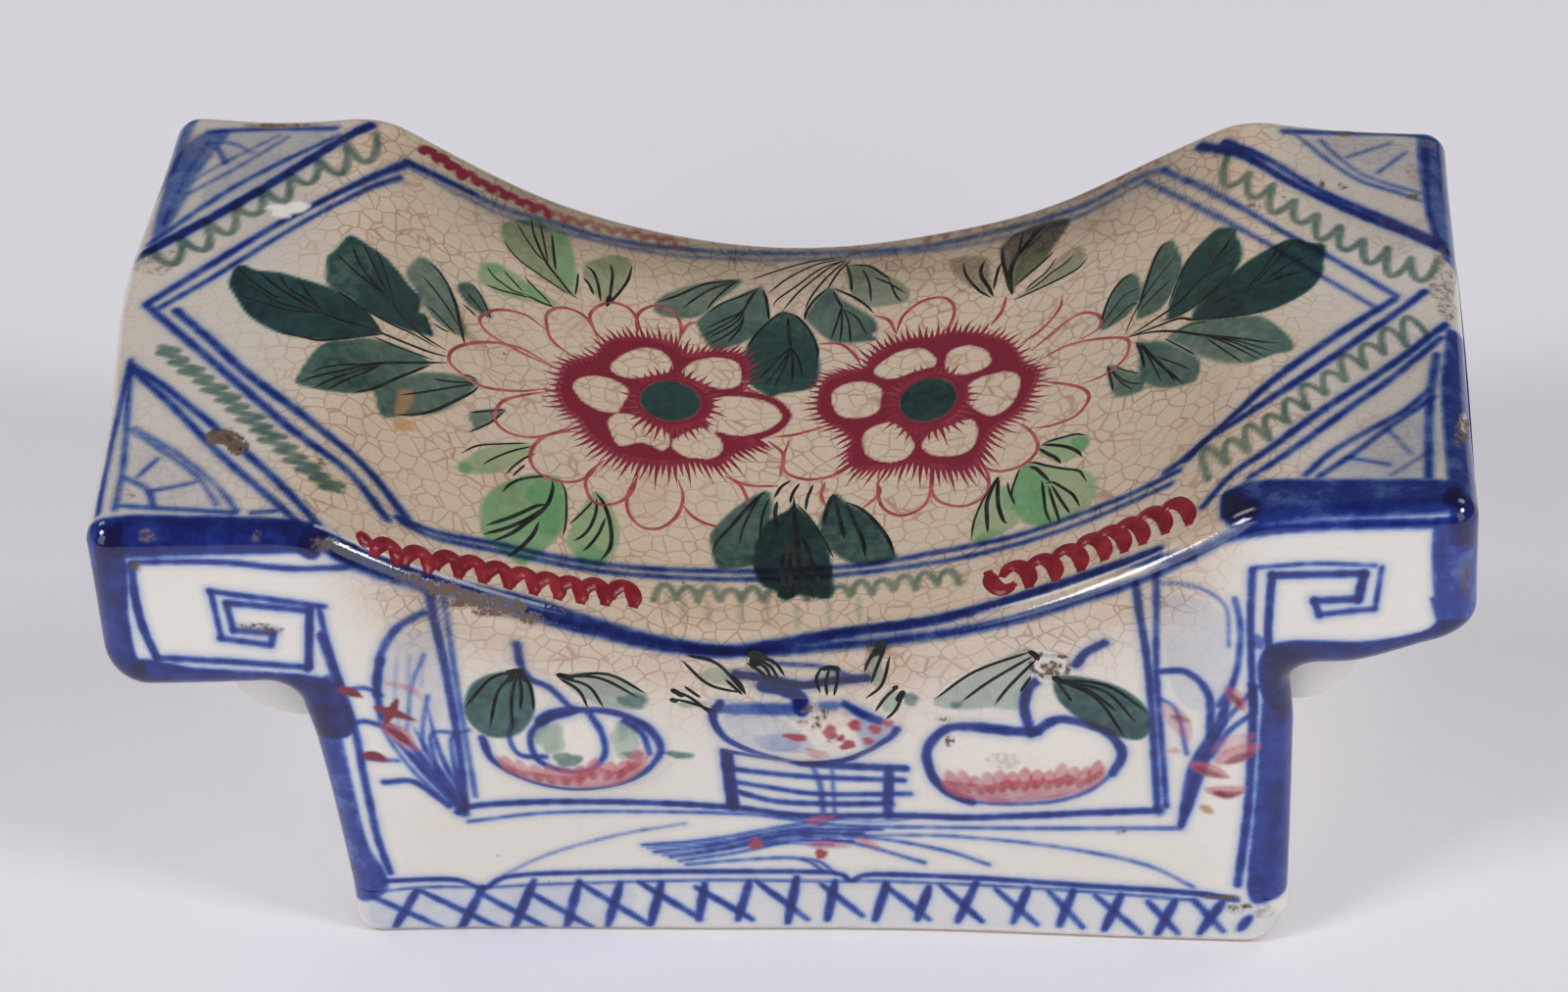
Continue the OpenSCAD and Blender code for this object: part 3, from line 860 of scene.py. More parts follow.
# Black veins and stems on the top, by the width of their stroke
TOP_BLACK = {
    0.55: [
        [(1124, 332), (1135, 317), (1147, 302), (1162, 294)],
        [(1128, 336), (1142, 322), (1154, 311), (1163, 310)],
        [(1147, 343), (1154, 327), (1164, 308), (1182, 283), (1201, 260)],
        [(1161, 319), (1173, 306), (1195, 285)], [(1192, 313), (1201, 289), (1212, 266), (1226, 248)],
        [(1233, 276), (1243, 260), (1256, 248)], [(1233, 278), (1247, 262), (1262, 251)],
        [(1222, 287), (1240, 276), (1264, 265)],
        [(1180, 329), (1201, 322), (1217, 314), (1236, 297), (1259, 275)],
        [(1271, 296), (1289, 275), (1308, 248)], [(1280, 289), (1296, 273), (1320, 245)],
        [(1287, 289), (1313, 271), (1336, 260)], [(1284, 290), (1313, 282), (1340, 271)],
        [(1215, 320), (1226, 308), (1243, 292), (1261, 273)],
        [(1229, 342), (1249, 345), (1271, 350), (1298, 358)], [(1233, 343), (1261, 350), (1294, 365)],
        [(1232, 343), (1252, 350), (1270, 359), (1285, 367)], [(1230, 344), (1243, 353), (1268, 370)],
        [(1198, 340), (1215, 331), (1233, 328)], [(1188, 345), (1203, 353), (1220, 362)],
        [(1161, 349), (1171, 362), (1178, 375), (1185, 389)], [(1178, 364), (1191, 378), (1199, 390)],
        [(1180, 364), (1198, 370), (1215, 377)], [(1131, 375), (1143, 389), (1156, 398)],
        [(1132, 375), (1145, 387), (1156, 391), (1167, 391)], [(1135, 373), (1149, 378), (1163, 381)],
    ],
    0.72: [
        [(242, 273), (258, 287), (278, 301), (288, 304)], [(238, 284), (262, 296), (286, 309), (322, 319)],
        [(239, 301), (262, 307), (292, 316), (326, 319)], [(263, 276), (282, 292), (306, 307), (326, 319)],
        [(283, 278), (296, 295), (316, 307), (324, 315)], [(304, 283), (314, 299), (330, 319), (336, 323)],
        [(359, 249), (366, 267), (380, 287), (392, 299), (399, 305)],
        [(371, 249), (378, 263), (388, 285), (398, 303)], [(383, 253), (390, 269), (396, 287), (403, 312)],
        [(433, 321), (437, 333), (440, 343)],
        [(344, 297), (362, 309), (382, 321), (402, 332), (422, 341), (448, 356)],
        [(430, 280), (446, 299), (460, 319), (468, 333)], [(436, 311), (450, 325), (465, 341)],
        [(442, 330), (450, 335), (458, 339)], [(482, 290), (490, 301), (496, 313), (501, 325)],
        [(477, 299), (486, 310), (495, 321)], [(472, 310), (480, 317), (486, 323)],
        [(318, 380), (330, 375), (352, 372), (382, 372)], [(320, 396), (338, 387), (362, 379), (388, 372)],
        [(333, 398), (354, 387), (374, 379), (388, 373)], [(380, 343), (394, 349), (414, 357), (442, 367)],
        [(441, 386), (458, 389), (488, 391)], [(407, 403), (432, 400), (462, 395), (489, 391)],
        [(472, 382), (480, 384), (486, 387)], [(479, 421), (498, 419), (516, 418)],
        [(478, 441), (490, 436), (502, 430), (515, 419)], [(696, 315), (709, 305), (728, 294), (753, 287)],
        [(721, 317), (728, 307), (742, 294), (753, 287)], [(761, 312), (751, 324), (736, 333), (717, 343)],
        [(761, 314), (753, 327), (738, 337), (724, 344)], [(760, 322), (753, 333), (738, 344), (724, 351)],
        [(759, 322), (755, 335), (742, 350)], [(774, 294), (757, 302), (736, 310), (721, 320)],
        [(807, 354), (793, 367), (776, 386)], [(807, 354), (795, 375), (780, 393)],
        [(807, 354), (800, 375), (789, 397)], [(807, 354), (809, 373), (808, 392)],
        [(807, 354), (815, 367), (819, 384)], [(859, 312), (854, 329), (848, 346)],
        [(859, 314), (859, 331), (857, 350)], [(860, 314), (866, 329), (868, 350)],
        [(862, 316), (875, 325), (885, 342)], [(880, 274), (887, 289), (889, 308)],
        [(892, 283), (907, 289), (924, 299)], [(907, 285), (914, 301), (920, 308)],
        [(861, 262), (823, 268), (791, 277), (765, 286)], [(861, 264), (833, 270), (804, 284), (783, 300)],
        [(863, 265), (838, 274), (814, 291), (793, 306), (789, 314)],
        [(865, 265), (848, 272), (833, 283), (814, 299), (798, 318)],
        [(867, 265), (856, 272), (840, 287), (827, 304), (821, 317)],
        [(869, 265), (857, 276), (848, 289), (845, 295)], [(777, 505), (767, 520), (758, 540), (754, 556)],
        [(785, 508), (778, 526), (776, 547), (781, 557)],
        [(810, 515), (802, 528), (792, 542), (787, 554), (784, 563)],
        [(813, 514), (824, 526), (834, 540), (842, 553), (851, 570)],
        [(514, 243), (519, 253), (531, 266), (556, 284), (571, 294), (581, 301)],
        [(527, 227), (538, 245), (548, 259), (558, 268)], [(551, 228), (555, 246), (559, 268)],
        [(590, 278), (589, 290), (587, 301)],
        [(497, 272), (503, 281), (514, 290), (525, 297), (538, 301)],
        [(514, 276), (522, 285), (534, 298)], [(496, 290), (508, 295), (522, 299), (542, 304)],
        [(535, 282), (544, 292), (554, 302), (563, 312)], [(470, 463), (486, 455), (508, 453), (539, 452)],
        [(492, 474), (505, 467), (523, 460), (544, 455)], [(516, 484), (525, 475), (536, 467), (546, 463)],
        [(523, 486), (529, 480), (536, 474)],
        [(571, 489), (577, 502), (578, 521), (577, 536), (574, 548)],
        [(606, 510), (596, 521), (581, 535)], [(1041, 477), (1037, 487), (1033, 499), (1032, 509)],
        [(1028, 491), (1030, 502), (1036, 515)],
        [(1018, 486), (1011, 497), (1002, 512), (994, 532), (991, 551)],
        [(1039, 260), (1042, 246), (1045, 236)], [(1043, 256), (1054, 248), (1066, 238)],
        [(1041, 258), (1050, 246), (1057, 233)],
        [(1045, 299), (1059, 290), (1072, 279), (1085, 270), (1097, 259)],
        [(1045, 297), (1056, 287), (1068, 277), (1078, 263)],
    ],
    0.95: [
        [(326, 319), (350, 327), (370, 333), (390, 340), (412, 349), (438, 359), (461, 365)],
        [(344, 297), (362, 309), (376, 321), (388, 338)],
        [(282, 338), (306, 343), (326, 347), (352, 345), (374, 342), (392, 341)],
        [(341, 256), (358, 273), (380, 291), (396, 303), (404, 315), (414, 327), (432, 343), (458, 359)],
        [(303, 391), (322, 384), (350, 378), (382, 371), (422, 370), (460, 370)],
        [(360, 401), (382, 396), (402, 387), (422, 379), (440, 372)],
        [(403, 423), (422, 423), (442, 419), (462, 410), (482, 400), (490, 392)],
        [(668, 309), (690, 302), (719, 290), (742, 287), (754, 286)],
        [(774, 294), (766, 304), (757, 318), (742, 325), (719, 336)],
        [(778, 295), (782, 306), (785, 327)],
        [(798, 318), (814, 324), (827, 339), (834, 356), (834, 367)],
        [(798, 318), (785, 328), (772, 341), (762, 355)], [(850, 294), (867, 301), (882, 310), (892, 320)],
        [(843, 295), (831, 306), (823, 318), (821, 327)], [(850, 297), (857, 310), (860, 314)],
        [(864, 270), (868, 284), (869, 298)], [(869, 270), (888, 272), (901, 280), (909, 285)],
        [(807, 490), (797, 497), (790, 508)], [(816, 493), (809, 503), (806, 514)],
        [(830, 494), (824, 508), (822, 521)],
        [(1123, 336), (1127, 317), (1136, 297), (1147, 284), (1156, 279)],
        [(1161, 317), (1168, 294), (1177, 267), (1185, 252), (1193, 247)],
        [(1152, 343), (1177, 327), (1201, 310), (1226, 285), (1236, 271), (1249, 253), (1261, 234)],
        [(1150, 344), (1175, 335), (1203, 325), (1217, 326), (1240, 324), (1270, 321), (1296, 315)],
        [(1224, 317), (1250, 304), (1271, 297), (1292, 289), (1313, 280), (1327, 279)],
        [(1147, 345), (1173, 339), (1199, 338), (1229, 342), (1261, 345), (1292, 349), (1305, 350)],
        [(1159, 349), (1164, 359), (1168, 376)], [(1163, 349), (1178, 366), (1191, 378), (1208, 392)],
        [(1130, 373), (1133, 385), (1136, 399)], [(598, 271), (605, 277), (610, 289), (613, 308)],
        [(563, 238), (565, 258), (567, 276)], [(623, 269), (625, 281), (622, 305)],
        [(645, 271), (641, 285), (633, 297), (619, 313)], [(595, 283), (601, 290), (606, 301)],
        [(542, 222), (544, 236), (550, 252), (559, 270), (571, 285), (582, 299), (590, 305)],
        [(538, 301), (551, 308), (567, 314)],
        [(513, 502), (519, 495), (531, 489), (551, 486), (563, 486)],
        [(1063, 454), (1071, 450), (1085, 446), (1098, 443), (1108, 444)],
        [(1047, 472), (1056, 472), (1068, 475), (1085, 478), (1100, 480), (1105, 485), (1109, 492)],
        [(1066, 493), (1074, 492), (1085, 498), (1095, 505), (1102, 517)],
        [(1073, 495), (1081, 508), (1092, 524)], [(1070, 496), (1074, 510), (1082, 534)],
        [(1063, 490), (1065, 505), (1067, 521), (1072, 533)],
        [(983, 268), (985, 279), (991, 288), (1000, 297), (1012, 304)],
        [(1022, 268), (1019, 274), (1016, 285), (1014, 295)],
        [(1035, 292), (1048, 281), (1061, 270), (1076, 256)],
        [(1035, 306), (1048, 300), (1072, 289), (1088, 281), (1101, 273), (1109, 263)],
        [(585, 552), (594, 547), (602, 538), (608, 523), (609, 508)],
        [(618, 528), (611, 544), (602, 556), (595, 562)], [(438, 268), (448, 277), (458, 293), (465, 311)],
    ],
    1.25: [
        [(458, 293), (465, 311), (469, 329), (474, 351)], [(396, 303), (404, 315), (414, 327)],
        [(563, 489), (564, 498), (560, 512), (551, 523), (539, 532), (522, 544), (501, 553)],
        [(559, 515), (548, 516), (523, 527), (496, 536)], [(557, 517), (539, 529), (516, 539), (493, 545)],
        [(550, 532), (544, 545), (531, 559), (518, 568)],
        [(607, 502), (615, 512), (621, 527), (624, 544), (623, 557), (618, 566), (612, 572)],
        [(808, 550), (802, 562), (798, 576), (799, 594), (801, 604)],
        [(809, 556), (806, 575), (807, 594), (809, 609)], [(817, 545), (825, 562), (831, 581), (840, 602)],
        [(793, 511), (791, 526), (794, 542)], [(850, 504), (844, 519), (841, 536)],
        [(851, 504), (856, 526), (862, 550)], [(863, 512), (872, 533), (880, 550), (883, 568)],
        [(863, 512), (878, 519), (892, 531), (905, 548), (910, 559), (913, 570)],
        [(781, 501), (772, 509), (759, 522), (747, 536), (733, 551), (727, 563)],
        [(1063, 454), (1074, 454), (1089, 456), (1100, 461), (1104, 466)],
        [(1059, 457), (1069, 463), (1077, 467), (1083, 473)],
        [(1050, 476), (1057, 478), (1064, 484), (1071, 491)],
        [(1019, 486), (1012, 499), (1007, 513), (1007, 527), (1008, 544)],
        [(1019, 487), (1018, 501), (1019, 517), (1024, 531), (1028, 534)],
        [(1005, 266), (1001, 274), (1002, 283), (1008, 292), (1014, 303)],
        [(1023, 252), (1023, 264), (1026, 277), (1030, 292), (1033, 301)],
        [(804, 324), (805, 340), (807, 356)],
    ],
    1.6: [
        [(810, 507), (811, 529), (813, 545), (814, 562), (816, 575), (819, 589), (831, 611)],
        [(1034, 299), (1031, 286), (1032, 273), (1038, 261), (1043, 255), (1054, 242), (1065, 230)],
        [(623, 300), (619, 313)],
    ],
}

# The two flowers: eye, its half sizes and tilt, the edge of the crimson band, the petals left bare in it
LEFT_FLOWER = dict(
    eye=(684, 409), eye_half=(32, 21), tilt=6,
    edge=[(570, 388), (577, 371), (606, 363), (618, 349), (642, 344), (680, 348), (702, 361), (728, 360),
        (757, 363), (763, 378), (757, 398), (742, 420), (745, 446), (762, 448), (776, 452), (750, 462),
        (736, 473), (709, 471), (680, 474), (642, 469), (618, 458), (599, 443), (589, 427), (575, 415),
        (568, 400)],
    petals=[
        [(622, 377), (630, 365), (652, 355), (673, 357), (686, 369), (685, 379), (664, 384), (640, 386)],
        [(695, 381), (707, 369), (733, 364), (752, 369), (757, 381), (754, 393), (735, 397), (708, 388)],
        [(656, 452), (632, 455), (622, 440), (620, 428), (634, 421), (660, 428), (682, 442), (684, 452),
            (676, 460)],
        [(684, 453), (695, 443), (718, 436), (734, 446), (738, 456), (733, 465), (714, 470), (694, 464)],
        [(584, 395), (590, 386), (608, 383), (628, 388), (642, 399), (636, 412), (630, 421), (612, 419),
            (594, 409)],
    ],
    loop=[(716, 405), (750, 401), (786, 408), (803, 424), (788, 440), (756, 448), (728, 443)],
)
RIGHT_FLOWER = dict(
    eye=(947, 408), eye_half=(31, 22), tilt=-18,
    edge=[(836, 400), (842, 388), (858, 381), (882, 376), (889, 364), (907, 353), (930, 346), (954, 344),
        (973, 339), (1002, 341), (1026, 347), (1038, 359), (1046, 371), (1060, 378), (1055, 396),
        (1044, 416), (1026, 429), (1010, 443), (1002, 462), (991, 476), (959, 478), (930, 472), (906, 476),
        (877, 478), (866, 469), (869, 451), (860, 439), (842, 428), (834, 415)],
    petals=[
        [(892, 381), (897, 371), (916, 359), (940, 355), (953, 362), (955, 373), (935, 379), (910, 387)],
        [(964, 375), (968, 359), (988, 352), (1007, 357), (1012, 369), (1002, 377), (986, 382), (972, 382)],
        [(986, 396), (998, 386), (1021, 379), (1038, 381), (1041, 395), (1033, 412), (1016, 424),
            (1002, 422), (988, 412)],
        [(940, 453), (949, 441), (968, 434), (990, 427), (998, 436), (995, 453), (983, 463), (959, 466),
            (944, 461)],
        [(880, 453), (882, 441), (896, 433), (912, 431), (930, 446), (933, 458), (921, 470), (901, 472),
            (884, 465)],
        [(848, 410), (851, 398), (868, 390), (887, 390), (901, 398), (899, 408), (896, 420), (877, 427),
            (856, 424)],
    ],
    loop=None,
)

# Thin outlines of the outer petals
OUTER_PETALS = [
    [(610, 343), (602, 321), (620, 309), (641, 314), (651, 329), (649, 346)],
    [(650, 343), (651, 321), (668, 312), (687, 319), (695, 333), (692, 353)],
    [(612, 349), (598, 324), (576, 314), (559, 319), (558, 333), (564, 348), (586, 365)],
    [(557, 336), (535, 321), (508, 316), (490, 324), (496, 338), (523, 355), (564, 375)],
    [(566, 375), (530, 355), (494, 349), (465, 355), (458, 367), (469, 380), (491, 394), (528, 399),
        (561, 396)],
    [(561, 399), (530, 404), (511, 411), (505, 428), (520, 442), (547, 446), (576, 438), (586, 430)],
    [(595, 440), (566, 442), (547, 452), (541, 469), (552, 484), (578, 492), (600, 486), (615, 467)],
    [(617, 469), (600, 484), (598, 498), (607, 513), (627, 514), (644, 503), (651, 484)],
    [(651, 486), (641, 503), (641, 522), (654, 537), (673, 539), (690, 527), (697, 508), (692, 489)],
    [(697, 516), (707, 527), (720, 534), (735, 538)], [(695, 341), (701, 332), (713, 328)],
    [(758, 386), (762, 396), (775, 402)], [(765, 516), (756, 496), (741, 486)],
    [(741, 486), (763, 495), (794, 496)], [(796, 486), (799, 464), (784, 450)],
    [(790, 446), (813, 443), (845, 434)],
    [(914, 342), (922, 322), (942, 307), (964, 304), (974, 315), (969, 332), (959, 342)],
    [(835, 351), (857, 351), (872, 362), (878, 372)], [(892, 322), (907, 327), (914, 340)],
    [(1011, 332), (1022, 318), (1027, 303)], [(1040, 352), (1064, 335), (1081, 315), (1084, 302)],
    [(1052, 358), (1098, 322), (1121, 322), (1121, 335), (1101, 347)],
    [(1061, 367), (1091, 352), (1128, 345), (1151, 347), (1148, 365), (1128, 382), (1103, 392)],
    [(1061, 389), (1088, 392), (1106, 397), (1111, 407), (1098, 424), (1073, 434), (1051, 437)],
    [(1034, 429), (1051, 439), (1059, 457), (1044, 474), (1019, 481), (999, 474)],
    [(996, 469), (1008, 484), (1006, 504), (986, 516), (964, 514), (952, 504), (949, 482)],
    [(949, 482), (949, 504), (939, 519), (919, 526), (902, 519), (896, 504), (897, 484)],
    [(895, 492), (897, 504), (880, 519)], [(842, 492), (838, 504), (842, 516)],
    [(865, 474), (847, 486), (822, 489), (802, 482), (799, 469), (805, 450)],
]

# Blue framing of the front, which the back repeats
FRAMING_BLUE = [
    # Left block: frame and fret
    (1.5, 1.1, [(134, 576), (138, 610), (146, 640), (160, 671)]),
    (1.3, 1.0, [(135, 574), (172, 573), (233, 574), (294, 580), (355, 579)]),
    (1.1, 1.0, [(160, 671), (233, 675), (316, 681)]), (1.05, 1.0, [(276, 658), (224, 651)]),
    (1.05, 1.0, [(226, 651), (215, 604)]), (1.05, 1.0, [(213, 603), (331, 619)]),
    (1.3, 1.1, [(277, 657), (279, 646)]), (1.15, 1.0, [(279, 646), (238, 643)]),
    (1.15, 1.0, [(238, 644), (231, 616)]), (1.15, 1.0, [(230, 615), (316, 623)]),
    (1.5, 1.1, [(316, 622), (315, 682)]), (1.0, 0.9, [(325, 619), (334, 655), (349, 704)]),
    # Right block: frame and fret
    (0.95, 0.8, [(1462, 611), (1469, 637)]), (0.95, 1.0, [(1346, 627), (1403, 621)]),
    (0.95, 0.9, [(1403, 621), (1410, 579)]), (1.35, 1.05, [(1341, 613), (1386, 611)]),
    (1.75, 1.1, [(1386, 612), (1392, 585)]), (1.45, 1.05, [(1394, 585), (1298, 587)]),
    (1.5, 1.05, [(1298, 586), (1294, 640), (1296, 662)]), (1.4, 1.1, [(1341, 613), (1346, 627)]),
    (0.8, 0.8, [(1403, 577), (1343, 575), (1282, 579)]),
    (1.4, 1.0, [(1278, 581), (1276, 643), (1279, 720)]),
    # Thin lines inside the edge bands of the base
    (1.5, 0.9, [(327, 647), (344, 692), (361, 740), (372, 795), (385, 853), (398, 890)]),
    (1.6, 1.0, [(1278, 700), (1279, 720), (1274, 819), (1263, 902)]),
    # Darker strokes in the edge bands
    (2.2, 0.5, [(313, 760), (330, 830), (346, 900)]),
    (2.4, 0.5, [(1302, 680), (1308, 760), (1302, 840), (1292, 900)]),
    (1.6, 0.5, [(1472, 545), (1470, 590), (1474, 636)]),
    (1.8, 0.5, [(1490, 600), (1496, 620), (1484, 644)]),
    # Frame of the middle panel
    (1.6, 0.95, [(437, 602), (446, 645), (454, 681), (468, 760), (475, 824)]),
    (1.2, 0.6, [(452, 608), (458, 645), (465, 692), (485, 812)]),
    (1.35, 1.0, [(1156, 576), (1162, 620), (1172, 686), (1178, 769), (1181, 826)]),
    (1.1, 0.9, [(1180, 580), (1180, 620), (1180, 686), (1185, 753), (1190, 822)]),
    (1.4, 1.05, [(468, 829), (485, 822), (561, 818), (664, 819), (750, 824), (820, 832), (920, 832),
        (986, 834), (1052, 832), (1118, 829), (1182, 827)]),
    (0.8, 0.7, [(478, 838), (561, 829), (664, 828), (768, 831), (860, 842), (953, 844), (1052, 845),
        (1152, 845), (1205, 845)]),
]

# Blue drawing inside the framing
FRONT_BLUE = [
    # Grass of the left side panel
    (1.6, 0.8, [(432, 625), (406, 640), (389, 667), (384, 709)]),
    (1.4, 0.8, [(389, 672), (384, 699), (390, 732)]), (0.8, 0.25, [(405, 672), (403, 710), (408, 748)]),
    (0.8, 0.22, [(418, 668), (416, 705), (420, 740)]), (0.7, 0.2, [(432, 665), (430, 700)]),
    (0.8, 0.8, [(465, 747), (440, 750), (447, 788)]),
    (0.9, 0.8, [(478, 745), (461, 753), (465, 788), (472, 819)]),
    (1.2, 0.8, [(347, 742), (372, 736), (396, 743)]), (1.3, 0.9, [(392, 798), (423, 798), (458, 822)]),
    (0.9, 0.7, [(375, 774), (406, 776)]), (1.0, 0.8, [(350, 705), (372, 702), (389, 709)]),
    (0.9, 0.6, [(384, 709), (392, 745), (425, 790), (470, 828)]),
    (0.8, 0.5, [(433, 668), (420, 700), (415, 745)]), (0.9, 0.6, [(436, 710), (431, 745), (433, 765)]),
    # Grass of the right side panel
    (1.5, 0.9, [(1181, 685), (1211, 686), (1233, 709), (1235, 753)]),
    (0.8, 0.5, [(1177, 594), (1218, 598), (1250, 618), (1254, 659)]),
    (1.3, 0.7, [(1260, 611), (1266, 643), (1260, 691), (1244, 720)]),
    (0.8, 0.6, [(1185, 713), (1201, 726), (1211, 769)]),
    (0.9, 0.7, [(1284, 700), (1261, 723), (1235, 759)]),
    (1.1, 0.8, [(1281, 726), (1254, 746), (1236, 772)]),
    # Left fruit
    (1.5, 1.0, [(492, 753), (502, 774), (527, 791), (561, 802), (595, 805), (630, 800), (657, 788),
        (674, 767), (668, 750), (651, 736), (623, 726), (589, 724)]),
    (1.5, 1.05, [(527, 657), (530, 675)]),
    (1.3, 1.0, [(530, 675), (540, 692), (561, 702), (583, 723)]),
    (2.2, 1.1, [(551, 736), (564, 728), (585, 724)]),
    (1.2, 0.9, [(585, 726), (552, 737), (541, 753), (549, 775), (574, 786), (601, 786), (617, 770),
        (614, 748), (601, 727)]),
    (1.0, 0.8, [(525, 734), (520, 753), (531, 770), (557, 772)]),
    (1.1, 0.9, [(637, 735), (655, 748), (663, 769)]),
    # Bowl and its stand
    (1.8, 1.45, [(751, 688), (782, 692), (819, 699), (845, 695), (884, 692)]),
    (0.9, 0.8, [(790, 677), (838, 680), (868, 690)]),
    (3.2, 1.1, [(780, 700), (799, 704), (814, 710), (818, 723)]),
    (2.6, 0.55, [(733, 723), (768, 723), (806, 724)]),
    (1.6, 1.0, [(735, 717), (727, 730), (737, 750), (761, 764), (795, 774), (824, 778), (859, 775),
        (887, 765), (908, 752), (915, 744)]),
    (1.6, 0.9, [(862, 718), (877, 727), (898, 736)]), (2.0, 0.45, [(838, 720), (852, 720)]),
    (2.5, 1.2, [(741, 767), (748, 822)]),
    (1.7, 1.0, [(740, 766), (786, 774), (838, 780), (894, 783), (924, 784)]),
    (1.2, 0.95, [(743, 784), (786, 789), (838, 793), (922, 796)]),
    (1.1, 0.9, [(747, 797), (796, 805), (838, 810), (929, 810)]),
    (1.3, 0.95, [(754, 808), (789, 817), (838, 820), (910, 820)]),
    (2.2, 0.95, [(907, 784), (906, 831)]), (1.3, 0.55, [(827, 777), (837, 801), (840, 829)]),
    (1.0, 0.45, [(849, 784), (852, 829)]),
    # Right fruit
    (1.9, 1.05, [(1059, 746), (1035, 746), (986, 741), (962, 746), (946, 766), (952, 792), (969, 809),
        (992, 818)]),
    (0.8, 0.75, [(992, 818), (1032, 820), (1078, 817), (1112, 806), (1135, 789)]),
    (1.9, 1.0, [(1135, 789), (1145, 769), (1132, 749), (1105, 738), (1079, 734), (1058, 745)]),
    (1.9, 1.1, [(1052, 748), (1045, 720), (1052, 700), (1065, 691)]),
    (1.8, 1.1, [(1098, 678), (1108, 666), (1127, 656)]),
    # Grass bundle under the panel
    (0.7, 0.8, [(656, 862), (720, 857), (790, 845), (860, 834)]),
    (0.8, 0.8, [(668, 869), (730, 862), (800, 848), (900, 846)]),
    (0.8, 0.9, [(685, 874), (740, 866), (800, 852), (880, 850)]),
    (0.7, 0.8, [(693, 878), (750, 870), (810, 858), (870, 858)]),
    (0.7, 0.7, [(700, 882), (760, 877), (815, 876), (843, 890)]),
    (3.0, 0.5, [(725, 864), (775, 857), (825, 850)]),
    (0.6, 0.6, [(662, 865), (725, 860), (780, 850), (840, 842)]),
    (0.6, 0.6, [(677, 872), (735, 866), (790, 860), (850, 862)]),
    (0.7, 0.6, [(820, 854), (920, 852), (986, 854), (1085, 865), (1168, 882), (1218, 905)]),
    (0.7, 0.7, [(860, 852), (915, 858), (969, 869), (1009, 882)]),
    (0.8, 0.7, [(840, 856), (880, 862), (943, 880)]), (0.7, 0.7, [(820, 876), (838, 880), (853, 892)]),
    (0.6, 0.5, [(513, 893), (561, 871), (630, 852), (699, 840)]),
    (0.6, 0.5, [(850, 836), (900, 838), (950, 832)]),
]

# Double line along the top of the plinth, and its crosses
PLINTH_LINES = [
    (1.1, 1.05, [(392, 899), (440, 897), (468, 898), (494, 906), (520, 894), (600, 890), (720, 889),
        (845, 890), (868, 898), (893, 892), (1000, 896), (1100, 903), (1215, 911), (1262, 918)]),
    (0.7, 0.7, [(380, 910), (440, 905), (500, 905), (560, 902), (720, 898), (850, 899), (900, 899),
        (1000, 903), (1100, 909), (1215, 918)]),
]
CROSS_DOWN_LEFT = [
    [(425, 909), (404, 945)], [(493, 905), (470, 948)], [(545, 898), (524, 948)], [(591, 899), (578, 946)],
    [(633, 901), (620, 945)], [(675, 901), (664, 943)], [(719, 902), (713, 938)], [(765, 899), (753, 938)],
    [(813, 895), (804, 941)], [(852, 899), (844, 938)], [(905, 901), (893, 938)], [(948, 905), (936, 938)],
    [(996, 901), (977, 940)], [(1049, 906), (1034, 941)], [(1095, 909), (1081, 944)],
    [(1144, 913), (1127, 948)], [(1199, 919), (1181, 952)], [(1247, 921), (1224, 952)],
    [(1275, 936), (1265, 948)],
]
CROSS_DOWN_RIGHT = [
    [(375, 912), (450, 946)], [(430, 909), (512, 948)], [(488, 910), (556, 946)], [(540, 910), (604, 946)],
    [(592, 901), (662, 943)], [(652, 900), (716, 938)], [(710, 905), (768, 938)], [(772, 899), (824, 938)],
    [(838, 902), (880, 934)], [(903, 903), (948, 938)], [(960, 903), (1002, 940)],
    [(1016, 907), (1058, 943)], [(1070, 909), (1105, 946)], [(1118, 914), (1164, 952)],
    [(1171, 920), (1202, 952)], [(1218, 918), (1248, 950)],
]

# Edge bands and washes on the front
EDGE_BANDS = [
    (1.35, [(36, 530), (100, 545), (127, 568), (130, 625), (138, 668), (152, 690), (150, 742), (60, 742),
        (34, 640)]),
    (1.35, [(134, 677), (200, 682), (300, 688), (330, 693), (350, 706), (354, 752), (250, 748),
        (130, 748)]),
    (0.9, [(296, 690), (334, 703), (347, 744), (361, 806), (375, 861), (393, 890), (392, 912), (350, 926),
        (310, 915), (290, 830), (276, 740)]),
    (0.9, [(1466, 526), (1500, 506), (1560, 510), (1566, 620), (1540, 680), (1490, 690), (1475, 652),
        (1468, 632), (1462, 590)]),
    (1.3, [(1293, 660), (1391, 655), (1451, 645), (1478, 632), (1540, 650), (1500, 712), (1400, 732),
        (1300, 726)]),
    (1.1, [(1294, 660), (1330, 668), (1352, 700), (1352, 800), (1346, 900), (1301, 918), (1274, 912),
        (1281, 819), (1288, 720)]),
]

